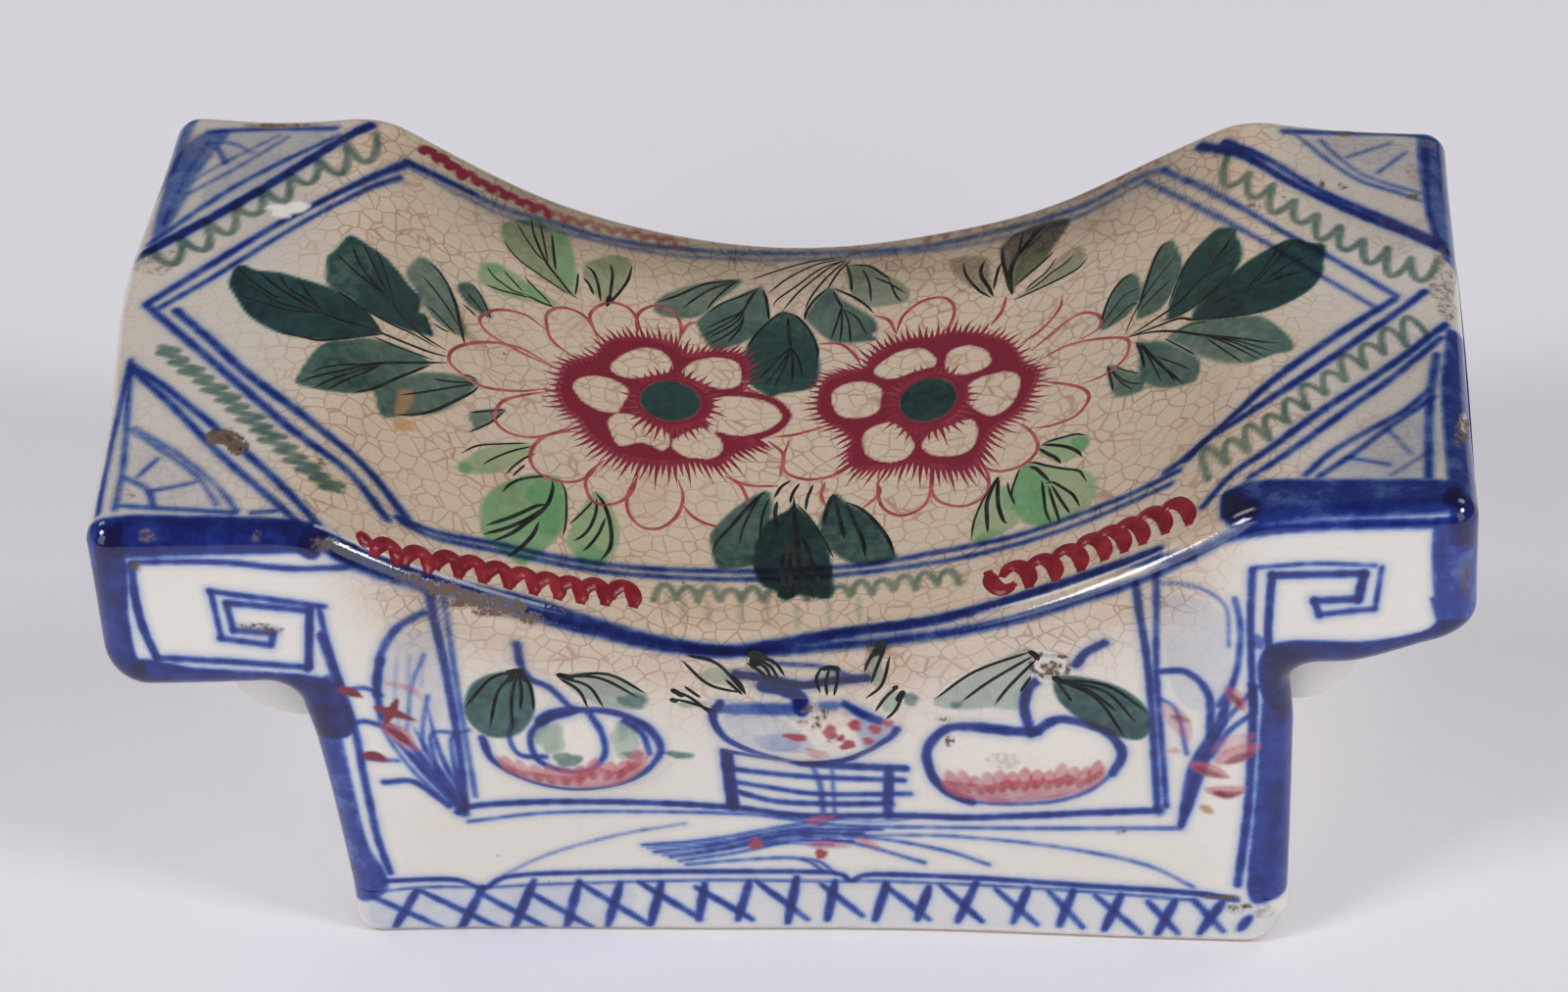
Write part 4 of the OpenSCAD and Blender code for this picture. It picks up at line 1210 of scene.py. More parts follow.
# Blades of grass on the front: width, load and pixels from foot to tip
FRONT_BLADES = [
    (2.0, 1.1, [(475, 829), (428, 780), (401, 753)]), (1.5, 1.0, [(475, 827), (423, 764), (390, 732)]),
    (1.3, 0.95, [(477, 824), (444, 780), (423, 743)]), (1.1, 0.9, [(477, 821), (450, 770), (436, 721)]),
    (2.3, 1.0, [(1205, 842), (1218, 786), (1245, 736), (1264, 676)]),
    (2.0, 1.1, [(1206, 842), (1225, 785), (1251, 735)]),
]
FRONT_BLUE_POOLS = [
    (0.1, [(385, 913), (470, 904), (640, 902), (610, 944), (400, 950)]),
    (0.06, [(385, 903), (560, 898), (850, 895), (1000, 900), (1260, 918), (1292, 952), (1000, 946),
        (700, 946), (400, 953)]),
    (0.1, [(395, 660), (440, 650), (450, 740), (400, 740)]),
    (0.1, [(1190, 610), (1250, 630), (1250, 720), (1200, 710)]),
    (0.14, [(745, 712), (800, 735), (830, 765), (780, 765), (742, 745)]),
    (0.25, [(770, 752), (810, 750), (815, 764), (785, 766)]),
    (0.3, [(880, 722), (905, 736), (918, 746), (900, 758), (884, 764), (874, 742)]),
]
FRONT_DARK_DABS = [
    (335, 698, 12, 10), (360, 893, 14, 10), (1312, 672, 14, 10), (1290, 903, 14, 12), (1283, 655, 8, 9),
    (472, 828, 7, 6), (1183, 826, 6, 7), (118, 560, 14, 10),
]

# Enamels on the front
FRONT_TEAL_DABS = [
    (579, 775, 13, 8), (929, 713, 9, 6), (645, 715, 17, 7, 10), (693, 770, 14, 4, 8), (976, 719, 6, 4),
    (646, 770, 12, 4),
]
FRONT_PALE_TEAL_DABS = [
    (735, 690, 22, 9), (850, 694, 12, 12), (893, 684, 9, 20), (909, 716, 10, 10), (775, 682, 10, 9),
    (706, 718, 14, 4), (560, 752, 16, 18), (560, 752, 12, 14), (639, 755, 14, 17), (632, 748, 10, 10),
]
FRONT_LEAVES = [
    (0.92, [(474, 722), (480, 700), (500, 688), (528, 685), (542, 698), (545, 726), (530, 748), (502, 752),
        (482, 740)]),
    (0.3, [(574, 691), (600, 686), (636, 694), (662, 712), (650, 724), (618, 720), (592, 710)]),
    (0.88, [(1076, 692), (1098, 690), (1140, 700), (1168, 720), (1174, 742), (1164, 754), (1142, 752),
        (1108, 738), (1080, 714)]),
    (0.26, [(1052, 662), (1030, 668), (990, 690), (952, 716), (980, 724), (1010, 722), (1042, 722),
        (1052, 690)]),
]
FRONT_BLACK = [
    [(524, 685), (500, 693), (474, 722)], [(526, 686), (508, 706), (500, 742)],
    [(528, 686), (522, 712), (523, 744)], [(531, 686), (541, 700), (545, 726)], [(516, 684), (536, 688)],
    [(529, 686), (532, 705), (531, 724)], [(570, 691), (600, 700), (616, 722)],
    [(570, 690), (612, 692), (652, 712)], [(570, 692), (590, 704), (600, 722)],
    [(574, 690), (620, 688), (660, 708)], [(568, 690), (584, 689)],
    [(1078, 694), (1110, 704), (1140, 726)], [(1078, 694), (1118, 712), (1148, 752)],
    [(1078, 694), (1094, 716)], [(1080, 693), (1130, 700), (1170, 726)],
    [(1080, 694), (1128, 706), (1160, 738)], [(1054, 664), (995, 685), (953, 714)],
    [(1056, 668), (1010, 695), (981, 716)], [(1058, 672), (1030, 700), (1015, 719)],
    [(1052, 690), (1041, 706)], [(702, 669), (733, 678), (761, 709)], [(695, 673), (723, 698), (757, 707)],
    [(685, 704), (705, 712), (726, 729)], [(688, 713), (708, 718), (730, 726)], [(698, 700), (715, 712)],
    [(765, 672), (781, 681), (787, 693)], [(770, 671), (786, 680), (794, 692)],
    [(762, 676), (777, 686), (782, 692)], [(768, 669), (790, 676), (801, 690)],
    [(838, 681), (833, 693), (837, 707)], [(846, 682), (843, 697), (844, 710)],
    [(855, 681), (854, 696), (851, 710)], [(836, 682), (856, 680)], [(901, 658), (887, 673), (882, 686)],
    [(903, 661), (895, 680), (889, 697)], [(908, 669), (900, 698), (883, 713)],
    [(917, 700), (904, 711), (893, 726)], [(922, 707), (914, 724), (904, 734)], [(899, 660), (905, 658)],
    [(740, 685), (754, 696), (761, 709)], [(740, 693), (758, 709)],
]
# Thick black knots where the leaves' veins meet: width and pixels
FRONT_KNOTS = [
    (2.0, [(567, 688), (576, 690), (586, 692)]), (2.2, [(516, 688), (526, 685), (536, 685)]),
    (1.9, [(524, 686), (518, 697)]), (1.7, [(530, 686), (538, 696)]),
    (2.4, [(763, 666), (772, 669), (782, 673)]), (1.8, [(764, 674), (776, 679)]),
    (2.4, [(893, 661), (899, 658), (905, 657)]), (1.8, [(897, 661), (892, 670)]),
    (1.8, [(838, 684), (846, 681), (858, 683)]), (1.7, [(684, 703), (690, 706), (698, 711)]),
    (1.7, [(683, 713), (692, 716)]), (2.0, [(922, 704), (919, 710), (915, 716)]),
    (1.6, [(916, 699), (911, 704)]), (1.8, [(1049, 664), (1056, 668), (1060, 674)]),
    (1.9, [(1073, 690), (1080, 694), (1087, 697)]),
]
# Pink fringes under the fruits: how tall their flames stand in pixels, how many points of the outline
# run along its upper edge, and the outline
FRUIT_FRINGES = [
    (10, 9, [(506, 770), (525, 783), (552, 788), (574, 791), (595, 788), (612, 783), (630, 786), (649, 775),
        (663, 770), (655, 786), (628, 801), (590, 803), (547, 797), (514, 781)]),
    (13, 12, [(960, 797), (975, 797), (990, 799), (1010, 800), (1028, 796), (1045, 797), (1060, 794),
        (1075, 795), (1090, 790), (1103, 794), (1116, 789), (1127, 781), (1124, 797), (1090, 812),
        (1028, 819), (976, 812)]),
]
FRINGE_LEAN = 5

# Petals on the front, drawn as short strokes: ink, width, load and pixels
FRONT_PETALS = [
    ("crimson", 2.3, 0.75, [(347, 703), (358, 706), (371, 712)]),
    ("crimson", 2.2, 0.7, [(384, 722), (400, 727), (427, 736)]),
    ("crimson", 1.7, 0.75, [(405, 714), (399, 727), (391, 742)]),
    ("pink", 4.0, 0.7, [(393, 740), (408, 750), (427, 767)]),
    ("crimson", 2.0, 0.6, [(396, 744), (409, 752), (422, 763)]),
    ("crimson", 2.4, 0.75, [(372, 770), (384, 772), (398, 777)]),
    ("pink", 1.7, 0.45, [(395, 697), (410, 700), (424, 702)]),
    ("pink", 1.6, 0.45, [(412, 700), (424, 706), (431, 717)]),
    ("pink", 3.4, 0.75, [(1217, 780), (1235, 786), (1256, 794)]),
    ("crimson", 1.8, 0.45, [(1220, 783), (1236, 789), (1250, 793)]),
    ("pink", 4.4, 0.7, [(1244, 776), (1262, 769), (1288, 758)]),
    ("crimson", 2.0, 0.4, [(1252, 778), (1266, 773), (1282, 767)]),
    ("pink", 3.2, 0.7, [(1233, 806), (1253, 808), (1274, 803)]),
    ("crimson", 1.7, 0.5, [(1240, 809), (1255, 811), (1270, 808)]),
    ("pink", 3.2, 0.6, [(1252, 702), (1262, 713), (1270, 727)]),
    ("crimson", 1.6, 0.5, [(1256, 708), (1263, 716), (1267, 723)]),
    ("pink", 4.2, 0.4, [(1188, 722), (1203, 736), (1214, 758)]),
    ("crimson", 1.8, 0.35, [(1196, 731), (1206, 734), (1216, 737)]),
    ("pink", 4.0, 0.4, [(1240, 766), (1258, 758), (1284, 748)]),
    ("ochre", 1.9, 1.2, [(1226, 823), (1232, 826), (1239, 830)]),
]
CRIMSON_DABS = [
    (847, 747, 8, 6), (872, 740, 7, 5), (893, 744, 6, 5), (906, 738, 5, 4), (865, 760, 9, 4, -10),
    (812, 752, 11, 4, 8), (886, 756, 5, 4), (858, 753, 4, 3), (838, 871, 5, 6, 40), (771, 861, 7, 5),
]
PINK_DABS = [
    (834, 769, 14, 4, 12), (836, 836, 14, 4, -15), (886, 860, 13, 4, 18), (845, 862, 22, 4, 5),
    (1196, 766, 8, 3),
]

# Wear: rubbed and stained patches, and fresh chips
BURNT_SPOTS = [(227, 446, 14, 6, 20), (241, 455, 10, 6, 20)]
OCHRE_SPOTS = [(412, 411, 9, 15, 10), (413, 434, 13, 6, 10), (286, 128, 34, 2)]
TOP_WEAR = [
    (228, 446, 16, 9, 1.6), (243, 455, 10, 8, 1.4), (446, 600, 22, 7, 1.3), (478, 611, 26, 9, 1.5),
    (512, 621, 26, 8, 1.4), (540, 631, 14, 5, 1.1), (418, 590, 12, 4, 0.8), (160, 268, 26, 12, 0.45),
    (330, 556, 12, 7, 0.5), (285, 128, 34, 2, 0.9), (1492, 440, 7, 16, 1.0), (262, 548, 5, 4, 0.9),
    (150, 548, 10, 4, 0.7), (150, 544, 6, 4, 0.8), (126, 504, 10, 8, 0.5), (327, 471, 3, 4, 0.9),
    (1370, 190, 4, 3, 1.3), (1442, 200, 5, 3, 1.3), (1349, 188, 3, 3, 1.3), (1371, 136, 7, 3, 1.0),
    (1457, 147, 9, 4, 0.7), (1445, 176, 12, 10, 0.25), (1470, 262, 6, 10, 0.5), (1478, 318, 8, 10, 0.6),
    (1280, 211, 10, 4, 0.6), (1472, 292, 12, 26, 0.5), (1390, 150, 40, 20, 0.12),
    (1420, 450, 40, 30, 0.15), (200, 150, 20, 12, 0.2), (180, 480, 50, 26, 0.1), (1430, 240, 40, 20, 0.15),
]
TOP_CHIPS = [(298, 213, 18, 6, -8), (282, 212, 12, 3), (288, 219, 10, 3), (1494, 432, 4, 8)]
CHIP_RIM = [
    (1052, 676), (1062, 668), (1074, 670), (1088, 671), (1090, 682), (1082, 692), (1066, 691), (1054, 684),
    (1052, 676),
]
FRONT_WEAR = [
    (258, 638, 16, 3, 0.8), (273, 643, 14, 3, 0.9), (266, 648, 8, 2, 0.7), (248, 643, 6, 2, 0.6),
    (1073, 682, 12, 7, 1.7), (837, 732, 6, 3, 0.9), (818, 738, 5, 4, 0.9), (828, 722, 6, 4, 1.0),
    (843, 726, 5, 4, 0.9), (833, 741, 5, 4, 0.8), (862, 728, 4, 3, 0.7), (819, 727, 3, 3, 0.8),
    (852, 754, 9, 4, 0.5), (1025, 776, 16, 9, 0.25), (969, 756, 4, 6, 0.9), (963, 733, 6, 3, 0.8),
    (1497, 590, 4, 22, 0.9), (1265, 926, 12, 5, 1.0), (1245, 915, 20, 2, 1.0), (355, 895, 6, 3, 0.6),
    (1146, 848, 6, 3, 0.6), (415, 608, 30, 8, 0.2), (138, 577, 6, 5, 0.8), (355, 825, 3, 3, 0.7),
    (232, 622, 5, 3, 0.6), (1290, 930, 10, 8, 0.35),
]
FRONT_CHIPS = [(1072, 680, 17, 14)]

# Single touches that share an ink and a load
TOP_DABS = (
    ("cobalt", 1.5, TOP_DARK_DABS),
    ("smoke_and_painted_shade", 1.4, BURNT_SPOTS),
    ("ochre", 0.9, OCHRE_SPOTS),
    ("chip", 1.0, TOP_CHIPS),
)
FRONT_DABS = (
    ("cobalt", 0.6, FRONT_DARK_DABS),
    ("teal", 0.62, FRONT_TEAL_DABS),
    ("teal", 0.26, FRONT_PALE_TEAL_DABS),
    ("green", 0.1, FRONT_PALE_TEAL_DABS),
    ("pink", 1.1, CRIMSON_DABS),
    ("crimson", 0.28, CRIMSON_DABS),
    ("pink", 0.6, PINK_DABS),
    ("chip", 1.0, FRONT_CHIPS),
)


def dab_all(chart, dabs, wear):
    """Lays tables of touches, and of worn places that each have a load of their own."""
    for ink, load, touches in dabs:
        for touch in touches:
            chart.dab(ink, *touch, load=load)
    for x, y, half_x, half_y, load in wear:
        chart.dab("wear", x, y, half_x, half_y, load=load)


def along_line(points, count):
    """So many points spread evenly along a line of pixels."""
    run = lengths_along(points)
    share = np.linspace(0, run[-1], count)
    return np.stack([np.interp(share, run, points[:, k]) for k in (0, 1)], axis=-1)


# Scribbles: points to a swing, how uneven the swings are, how round a cup is, which way a zigzag runs
SWING_POINTS = 14
UNSTEADY = 0.18
UNSTEADY_PACE = 0.41
CUP_ROUND = 0.6
ZIGZAG_WAY = np.array([1.0, 0.1])


def scribble(chart, ink, shape, width, count, swing, load, pixels):
    """A row of arches, cups or zigzags along a middle line, as a loaded brush runs up and down."""
    at = along_line(spline(pixels, FINE_PIXEL_STEP), count * SWING_POINTS)
    phase = np.linspace(0, count * 2 * math.pi, len(at))
    size = swing * (1 + UNSTEADY * np.sin(UNSTEADY_PACE * phase + at[0, 0]))
    if shape == "zigzag":
        way = ZIGZAG_WAY
        size = size * np.arcsin(np.sin(phase)) / QUARTER_TURN
    else:
        ahead = unit(np.gradient(at, axis=0))
        way = np.stack([-ahead[:, 1], ahead[:, 0]], axis=-1)
        bow = 2 * np.abs(np.sin(phase / 2)) ** CUP_ROUND - 1
        size = size * (-bow if shape == "arch" else bow)
    chart.lay(ink, chart.from_photo(at + way * size[:, None]), width, load)


# Hairs of the flowers, in pixels: their spacing, their lengths on the edge and on the flaming ring, how deep
# they are rooted and how far they lean
HAIR_GAP = 5.6
EDGE_HAIR = 19
RING_HAIR = 15
HAIR_ROOT = 4
HAIR_LEAN = 1.7

# Shares of a hair's length: the least, what comes and goes along the row, and what hanging down adds
HAIR_LEAST = 0.85
HAIR_UNEVEN = 0.28
HAIR_HANG = 0.25
UNEVEN_PACE = 2.4
LEAN_PACE = 1.7

# A hair's width in millimetres, and the share of it that is left at the tip
HAIR_W = 1.9
HAIR_THIN = 0.12


def fringe(points, middle, length, avoid=None):
    """Short tapering hairs outwards from a closed run of pixels, away from the flower's middle."""
    closed = np.vstack([points, points[:1]])
    at = along_line(closed, int(lengths_along(closed)[-1] / HAIR_GAP))[:-1]
    if avoid is not None:
        at = at[~within(at[:, 0], at[:, 1], avoid)]
    out = unit(at - middle)
    which = np.arange(len(at))
    uneven = HAIR_LEAST + HAIR_UNEVEN * np.sin(which * UNEVEN_PACE + middle[0])
    reach = out * (length * uneven * (1 + HAIR_HANG * out[:, 1]))[:, None]
    lean = HAIR_LEAN * np.sin(which * LEAN_PACE)
    aside = np.stack([-out[:, 1], out[:, 0]], axis=-1) * lean[:, None]
    hairs = np.stack([at - out * HAIR_ROOT, at + reach / 2, at + reach + aside], axis=1)
    for hair in top.from_photo(hairs).reshape(-1, 3, 2):
        crimson_lines.line(top, spline(hair, HAIR_STEP), HAIR_W, LINE_H, HAIR_THIN, pointed=True)


# The flaming ring round a flower's eye: its shift and its room past the eye in pixels, points and load
FLAME_RING_SHIFT = np.array([2.0, 1.0])
FLAME_RING_ROOM = np.array([9, 6])
FLAME_RING_POINTS = 40
FLAME_RING_LOAD = 1.1
EYE_LOAD = 1.25
LOOP_W = 1.7


def flower(eye, eye_half, tilt, edge, petals, loop):
    """A flower head: bare petals in a crimson band with a fringe, a flaming ring, and a teal eye."""
    eye = np.array(eye, float)
    top.fill("crimson", edge)
    fringe(ring(edge), eye, EDGE_HAIR, ring(loop) if loop else None)
    if loop:
        top.fill("bare", loop)
        top.stroke("crimson", loop, LOOP_W)
    for petal in petals:
        top.fill("bare", petal)
    flame = ellipse(eye + FLAME_RING_SHIFT, eye_half + FLAME_RING_ROOM, tilt, FLAME_RING_POINTS)
    fringe(flame, eye, RING_HAIR)
    pupil = ellipse(eye, eye_half, tilt)
    for pixels, ink, load in ((flame, "crimson", FLAME_RING_LOAD), (pupil, "teal", EYE_LOAD)):
        outline = top.from_photo(pixels)
        top.pool("bare", outline)
        top.pool(ink, outline, load)


# The share of smoke in the green scribbles, and the drips below them
SCRIBBLE_SMOKE = 0.2
DRIP_START = 8
DRIP_W = 1.3
DRIP_LOAD = 0.2
DRIP_TAPER = 0.5

# The swing of the back scrolls in pixels, and how much of their width beads and rose lines keep at the ends
SCROLL_SWING = 3.5
BEAD_THIN = 0.6
ROSE_THIN = 0.4
ROSE_W = 1.15

# How far a blue corner runs on past the slab's edge, in millimetres
CORNER_ROOM = 2


def paint_top():
    for width, load, pixels in TOP_BLUE:
        top.stroke("cobalt", pixels, width, load)
    for load, pixels in TOP_BLUE_POOLS:
        top.fill("cobalt", pixels, load)
    for side, inward, behind, load in BLUE_CORNERS:
        end, near = side * (TOP_U + CORNER_ROOM), side * (HALF_W - inward)
        fore, aft = -TOP_V - CORNER_ROOM, behind - HALF_D
        top.pool("cobalt", [(end, fore), (near, fore), (near, aft), (end, aft)], load)
    for load, outline in END_BANDS:
        top.pool("cobalt", outline, load)
    for shape, width, count, swing, load, pixels in GREEN_SCRIBBLES:
        scribble(top, "teal", shape, width, count, swing, load, pixels)
        scribble(top, "smoke_and_painted_shade", shape, width, count, swing, SCRIBBLE_SMOKE * load, pixels)
    for x, y in GREEN_DRIPS:
        drip = [(x, y - DRIP_START), (x + DRIP_DOWN[0], y + DRIP_DOWN[1])]
        top.stroke("teal", drip, DRIP_W, DRIP_LOAD, DRIP_TAPER)
    for width, load, count, pixels in BACK_SCROLLS:
        scribble(top, "crimson", "arch", width, count, SCROLL_SWING, load, pixels)
    beads = [np.add(LEFT_HUMP, place) for place in LEFT_HUMPS]
    beads += [np.add(RIGHT_HUMP, place) for place in RIGHT_HUMPS]
    for pixels in beads + FIRST_DABS:
        red_scrolls.trace(top, pixels, BEAD_W, BEAD_H, BEAD_THIN)
    flower(**LEFT_FLOWER)
    flower(**RIGHT_FLOWER)
    for ink, load, pixels in TOP_LEAVES:
        top.fill(ink, pixels, load)
    for width, strokes in TOP_BLACK.items():
        for pixels in strokes:
            black_lines.trace(top, pixels, width, LINE_H)
    for pixels in OUTER_PETALS:
        rose_lines.trace(top, pixels, ROSE_W, LINE_H, ROSE_THIN)
    dab_all(top, TOP_DABS, TOP_WEAR)


# Tongues of the fruits' fringes: shares of their height, the pixels of their feet, and widths and loads
FRINGE_LOAD = 0.8
TONGUE_LEAST = 0.9
TONGUE_UNEVEN = 0.25
TONGUE_PACE = 2.3
TONGUE_FOOT = 9
TONGUE_W = 3.3
TONGUE_LOAD = 0.75
ROOT_FOOT = 11
ROOT_BEND = 6
ROOT_W = 1.7
ROOT_LOAD = 0.22


def fruit_fringe(tall, tops, pixels):
    """A pink fringe with tongues of flame along its upper edge, which lean out to both sides."""
    front.fill("pink", pixels, FRINGE_LOAD)
    line = along_line(spline(pixels[:tops], FINE_PIXEL_STEP), tops + 3)
    for k, (x, y) in enumerate(line[1:-1]):
        lean = FRINGE_LEAN * (k / tops * 2 - 1)
        reach = tall * (TONGUE_LEAST + TONGUE_UNEVEN * math.sin(k * TONGUE_PACE))
        knee = (x, y + 1)
        tongue = [(x - lean, y + TONGUE_FOOT), knee, (x + lean / 2, y - reach / 2), (x + lean, y - reach)]
        front.blade("pink", tongue, TONGUE_W, TONGUE_LOAD)
        root = [(x - lean, y + ROOT_FOOT), (x - lean / 2, y + ROOT_BEND), knee]
        front.blade("crimson", root, ROOT_W, ROOT_LOAD)


# How the front's blue lines differ from their tables, the crosses' widths, loads and taper, the leaves' inks
FRONT_LINE_W = 0.92
FRONT_LINE_LOAD = 1.2
CROSSES = ((1.7, 1.2, CROSS_DOWN_LEFT), (1.35, 1.1, CROSS_DOWN_RIGHT))
CROSS_TAPER = 0.35
LEAF_INKS = (("teal", 1.0), ("green", 0.3), ("cobalt", 0.12))
FRONT_VEIN_W = 1.0
CHIP_RIM_W = 0.8
CHIP_RIM_LOAD = 1.6


def paint_front():
    for width, load, pixels in FRAMING_BLUE + FRONT_BLUE + PLINTH_LINES:
        front.stroke("cobalt", pixels, FRONT_LINE_W * width, FRONT_LINE_LOAD * load)
    for width, load, crosses in CROSSES:
        for pixels in crosses:
            front.stroke("cobalt", pixels, width, load, CROSS_TAPER)
    for load, pixels in EDGE_BANDS + FRONT_BLUE_POOLS:
        front.fill("cobalt", pixels, load)
    for load, pixels in FRONT_LEAVES:
        for ink, share in LEAF_INKS:
            front.fill(ink, pixels, share * load)
    for pixels in FRONT_BLACK:
        black_lines.trace(front, pixels, FRONT_VEIN_W, LINE_H)
    for width, pixels in FRONT_KNOTS:
        black_lines.trace(front, pixels, width, LINE_H)
    for tall, tops, pixels in FRUIT_FRINGES:
        fruit_fringe(tall, tops, pixels)
    for ink, width, load, pixels in FRONT_PETALS:
        front.blade(ink, pixels, width, load)
    for width, load, pixels in FRONT_BLADES:
        front.blade("cobalt", pixels, width, load)
    front.stroke("wear", CHIP_RIM, CHIP_RIM_W, CHIP_RIM_LOAD)
    dab_all(front, FRONT_DABS, FRONT_WEAR)


# The back repeats the front's framing, with a spray of grass where the front has its reliefs, in millimetres:
# strokes with width, load and path, leaves with foot, tip and width, and blossoms with place and size
BACK_SPRAY = [
    (1.6, 1.0, [(-8, 22), (-2, 38), (3, 58)]), (1.2, 0.9, [(-8, 22), (-20, 36), (-42, 48)]),
    (1.2, 0.9, [(-8, 22), (8, 38), (34, 50)]), (1.0, 0.8, [(-8, 22), (-26, 28), (-52, 32)]),
    (1.0, 0.8, [(-8, 22), (16, 29), (50, 31)]), (0.9, 0.8, [(-4, 32), (-14, 46), (-24, 62)]),
    (0.9, 0.8, [(-1, 42), (10, 52), (24, 64)]),
]
BACK_LEAVES = [
    ((-20, 36), (-30, 52), 9), ((-30, 42), (-48, 40), 8), ((10, 40), (20, 58), 9), ((22, 46), (42, 42), 8),
    ((-2, 44), (-12, 58), 8), ((2, 54), (12, 70), 8),
]
BACK_BLOSSOMS = [
    (-44, 49, 4.5), (36, 52, 4.5), (3, 60, 5), (-54, 33, 3.5), (52, 32, 3.5), (-25, 63, 3.5),
]
BACK_CROSS_W = 1.4
BACK_CROSS_LOAD = 0.9
SPRAY_TAPER = 0.5

# A leaf's half width along it, as shares of its length and width, and where along it its vein runs
LEAF_SHAPE = (
    (0.0, 0.04), (0.12, 0.36), (0.3, 0.7), (0.5, 0.95), (0.68, 1.0), (0.84, 0.84), (0.95, 0.5), (1.0, 0.08),
)
VEIN_STOPS = (0, 0.5, 0.9)
VEIN_W = 0.66

# A blossom's petals: how many, the turn of the first in degrees, and shares of the blossom's size
BLOSSOM_PETALS = 5
BLOSSOM_TURN = 18
PETAL_AT = 0.62
PETAL_HALF = (0.42, 0.3)
PETAL_LOAD = 0.85
BLOSSOM_EYE = (0.25, 0.25)
BLOSSOM_EYE_LOAD = 1.2


def back_leaf(foot, tip, width):
    foot = np.array(foot, float)
    axis = tip - foot
    across = np.array([-axis[1], axis[0]]) / np.linalg.norm(axis) * width / 2
    one = [foot + axis * s + across * w for s, w in LEAF_SHAPE]
    other = [foot + axis * s - across * w for s, w in reversed(LEAF_SHAPE)]
    back.pool("teal", ring(one + other))
    black_lines.line(back, spline([foot + axis * s for s in VEIN_STOPS]), VEIN_W, LINE_H)


def back_blossom(x, z, size):
    for k in range(BLOSSOM_PETALS):
        degrees = 360 / BLOSSOM_PETALS * k + BLOSSOM_TURN
        out = PETAL_AT * size
        petal = (x + out * math.cos(math.radians(degrees)), z + out * math.sin(math.radians(degrees)))
        back.pool("crimson", ellipse(petal, np.multiply(PETAL_HALF, size), degrees), PETAL_LOAD)
    back.pool("teal", ellipse((x, z), np.multiply(BLOSSOM_EYE, size)), BLOSSOM_EYE_LOAD)


def paint_back():
    for width, load, pixels in FRAMING_BLUE + PLINTH_LINES:
        back.lay("cobalt", front.trace(pixels), width, load)
    for pixels in CROSS_DOWN_LEFT + CROSS_DOWN_RIGHT:
        back.lay("cobalt", front.trace(pixels), BACK_CROSS_W, BACK_CROSS_LOAD, CROSS_TAPER)
    for load, pixels in EDGE_BANDS:
        back.pool("cobalt", front.from_photo(ring(pixels)), load)
    for width, load, path in BACK_SPRAY:
        back.lay("cobalt", spline(path), width, load, SPRAY_TAPER)
    for foot, tip, width in BACK_LEAVES:
        back_leaf(foot, tip, width)
    for x, z, size in BACK_BLOSSOMS:
        back_blossom(x, z, size)


# Painting of the ends, in millimetres: uprights on both sides with width, load, place, top and foot,
# level bands with width, load and height, and a fret
END_EDGE = INNER_D + 1
END_UPRIGHTS = [
    (10, 1.15, END_EDGE, SEAM_Z + 2, -40),
    (1.6, 1.0, END_EDGE - 9, SEAM_Z - 1, SEAM_Z - 20),
]
END_LEVELS = [(5, 1.1, SEAM_Z - 23), (3, 0.9, SEAM_Z + 1)]
END_FRET = [
    [(-26, 96), (26, 96)], [(26, 96), (26, 84)], [(26, 84), (-18, 84)], [(-18, 84), (-18, 91)],
    [(-18, 91), (16, 91)],
]
FRET_W = 1.7


def paint_ends():
    for width, load, y, high, low in END_UPRIGHTS:
        for a in (-y, y):
            end_chart.lay("cobalt", [(a, high), (a, low)], width, load)
    for width, load, z in END_LEVELS:
        end_chart.lay("cobalt", [(-END_EDGE, z), (END_EDGE, z)], width, load)
    for path in END_FRET:
        end_chart.lay("cobalt", path, FRET_W)


paint_top()
paint_front()
paint_back()
paint_ends()


# Materials

def linear(red, green, blue):
    """A colour as read off a screen, from 0 to 255, as Blender's linear colour by the sRGB curve."""
    share = [c / 255 for c in (red, green, blue)]
    return tuple(s / 12.92 if s <= 0.04045 else ((s + 0.055) / 1.055) ** 2.4 for s in share) + (1.0,)


# Crazing lines are made uneven by a noise with so many waves to the metre, which shifts them so far in metres
CRACK_SHIFT_SCALE = 120
CRACK_SHIFT = 0.0022


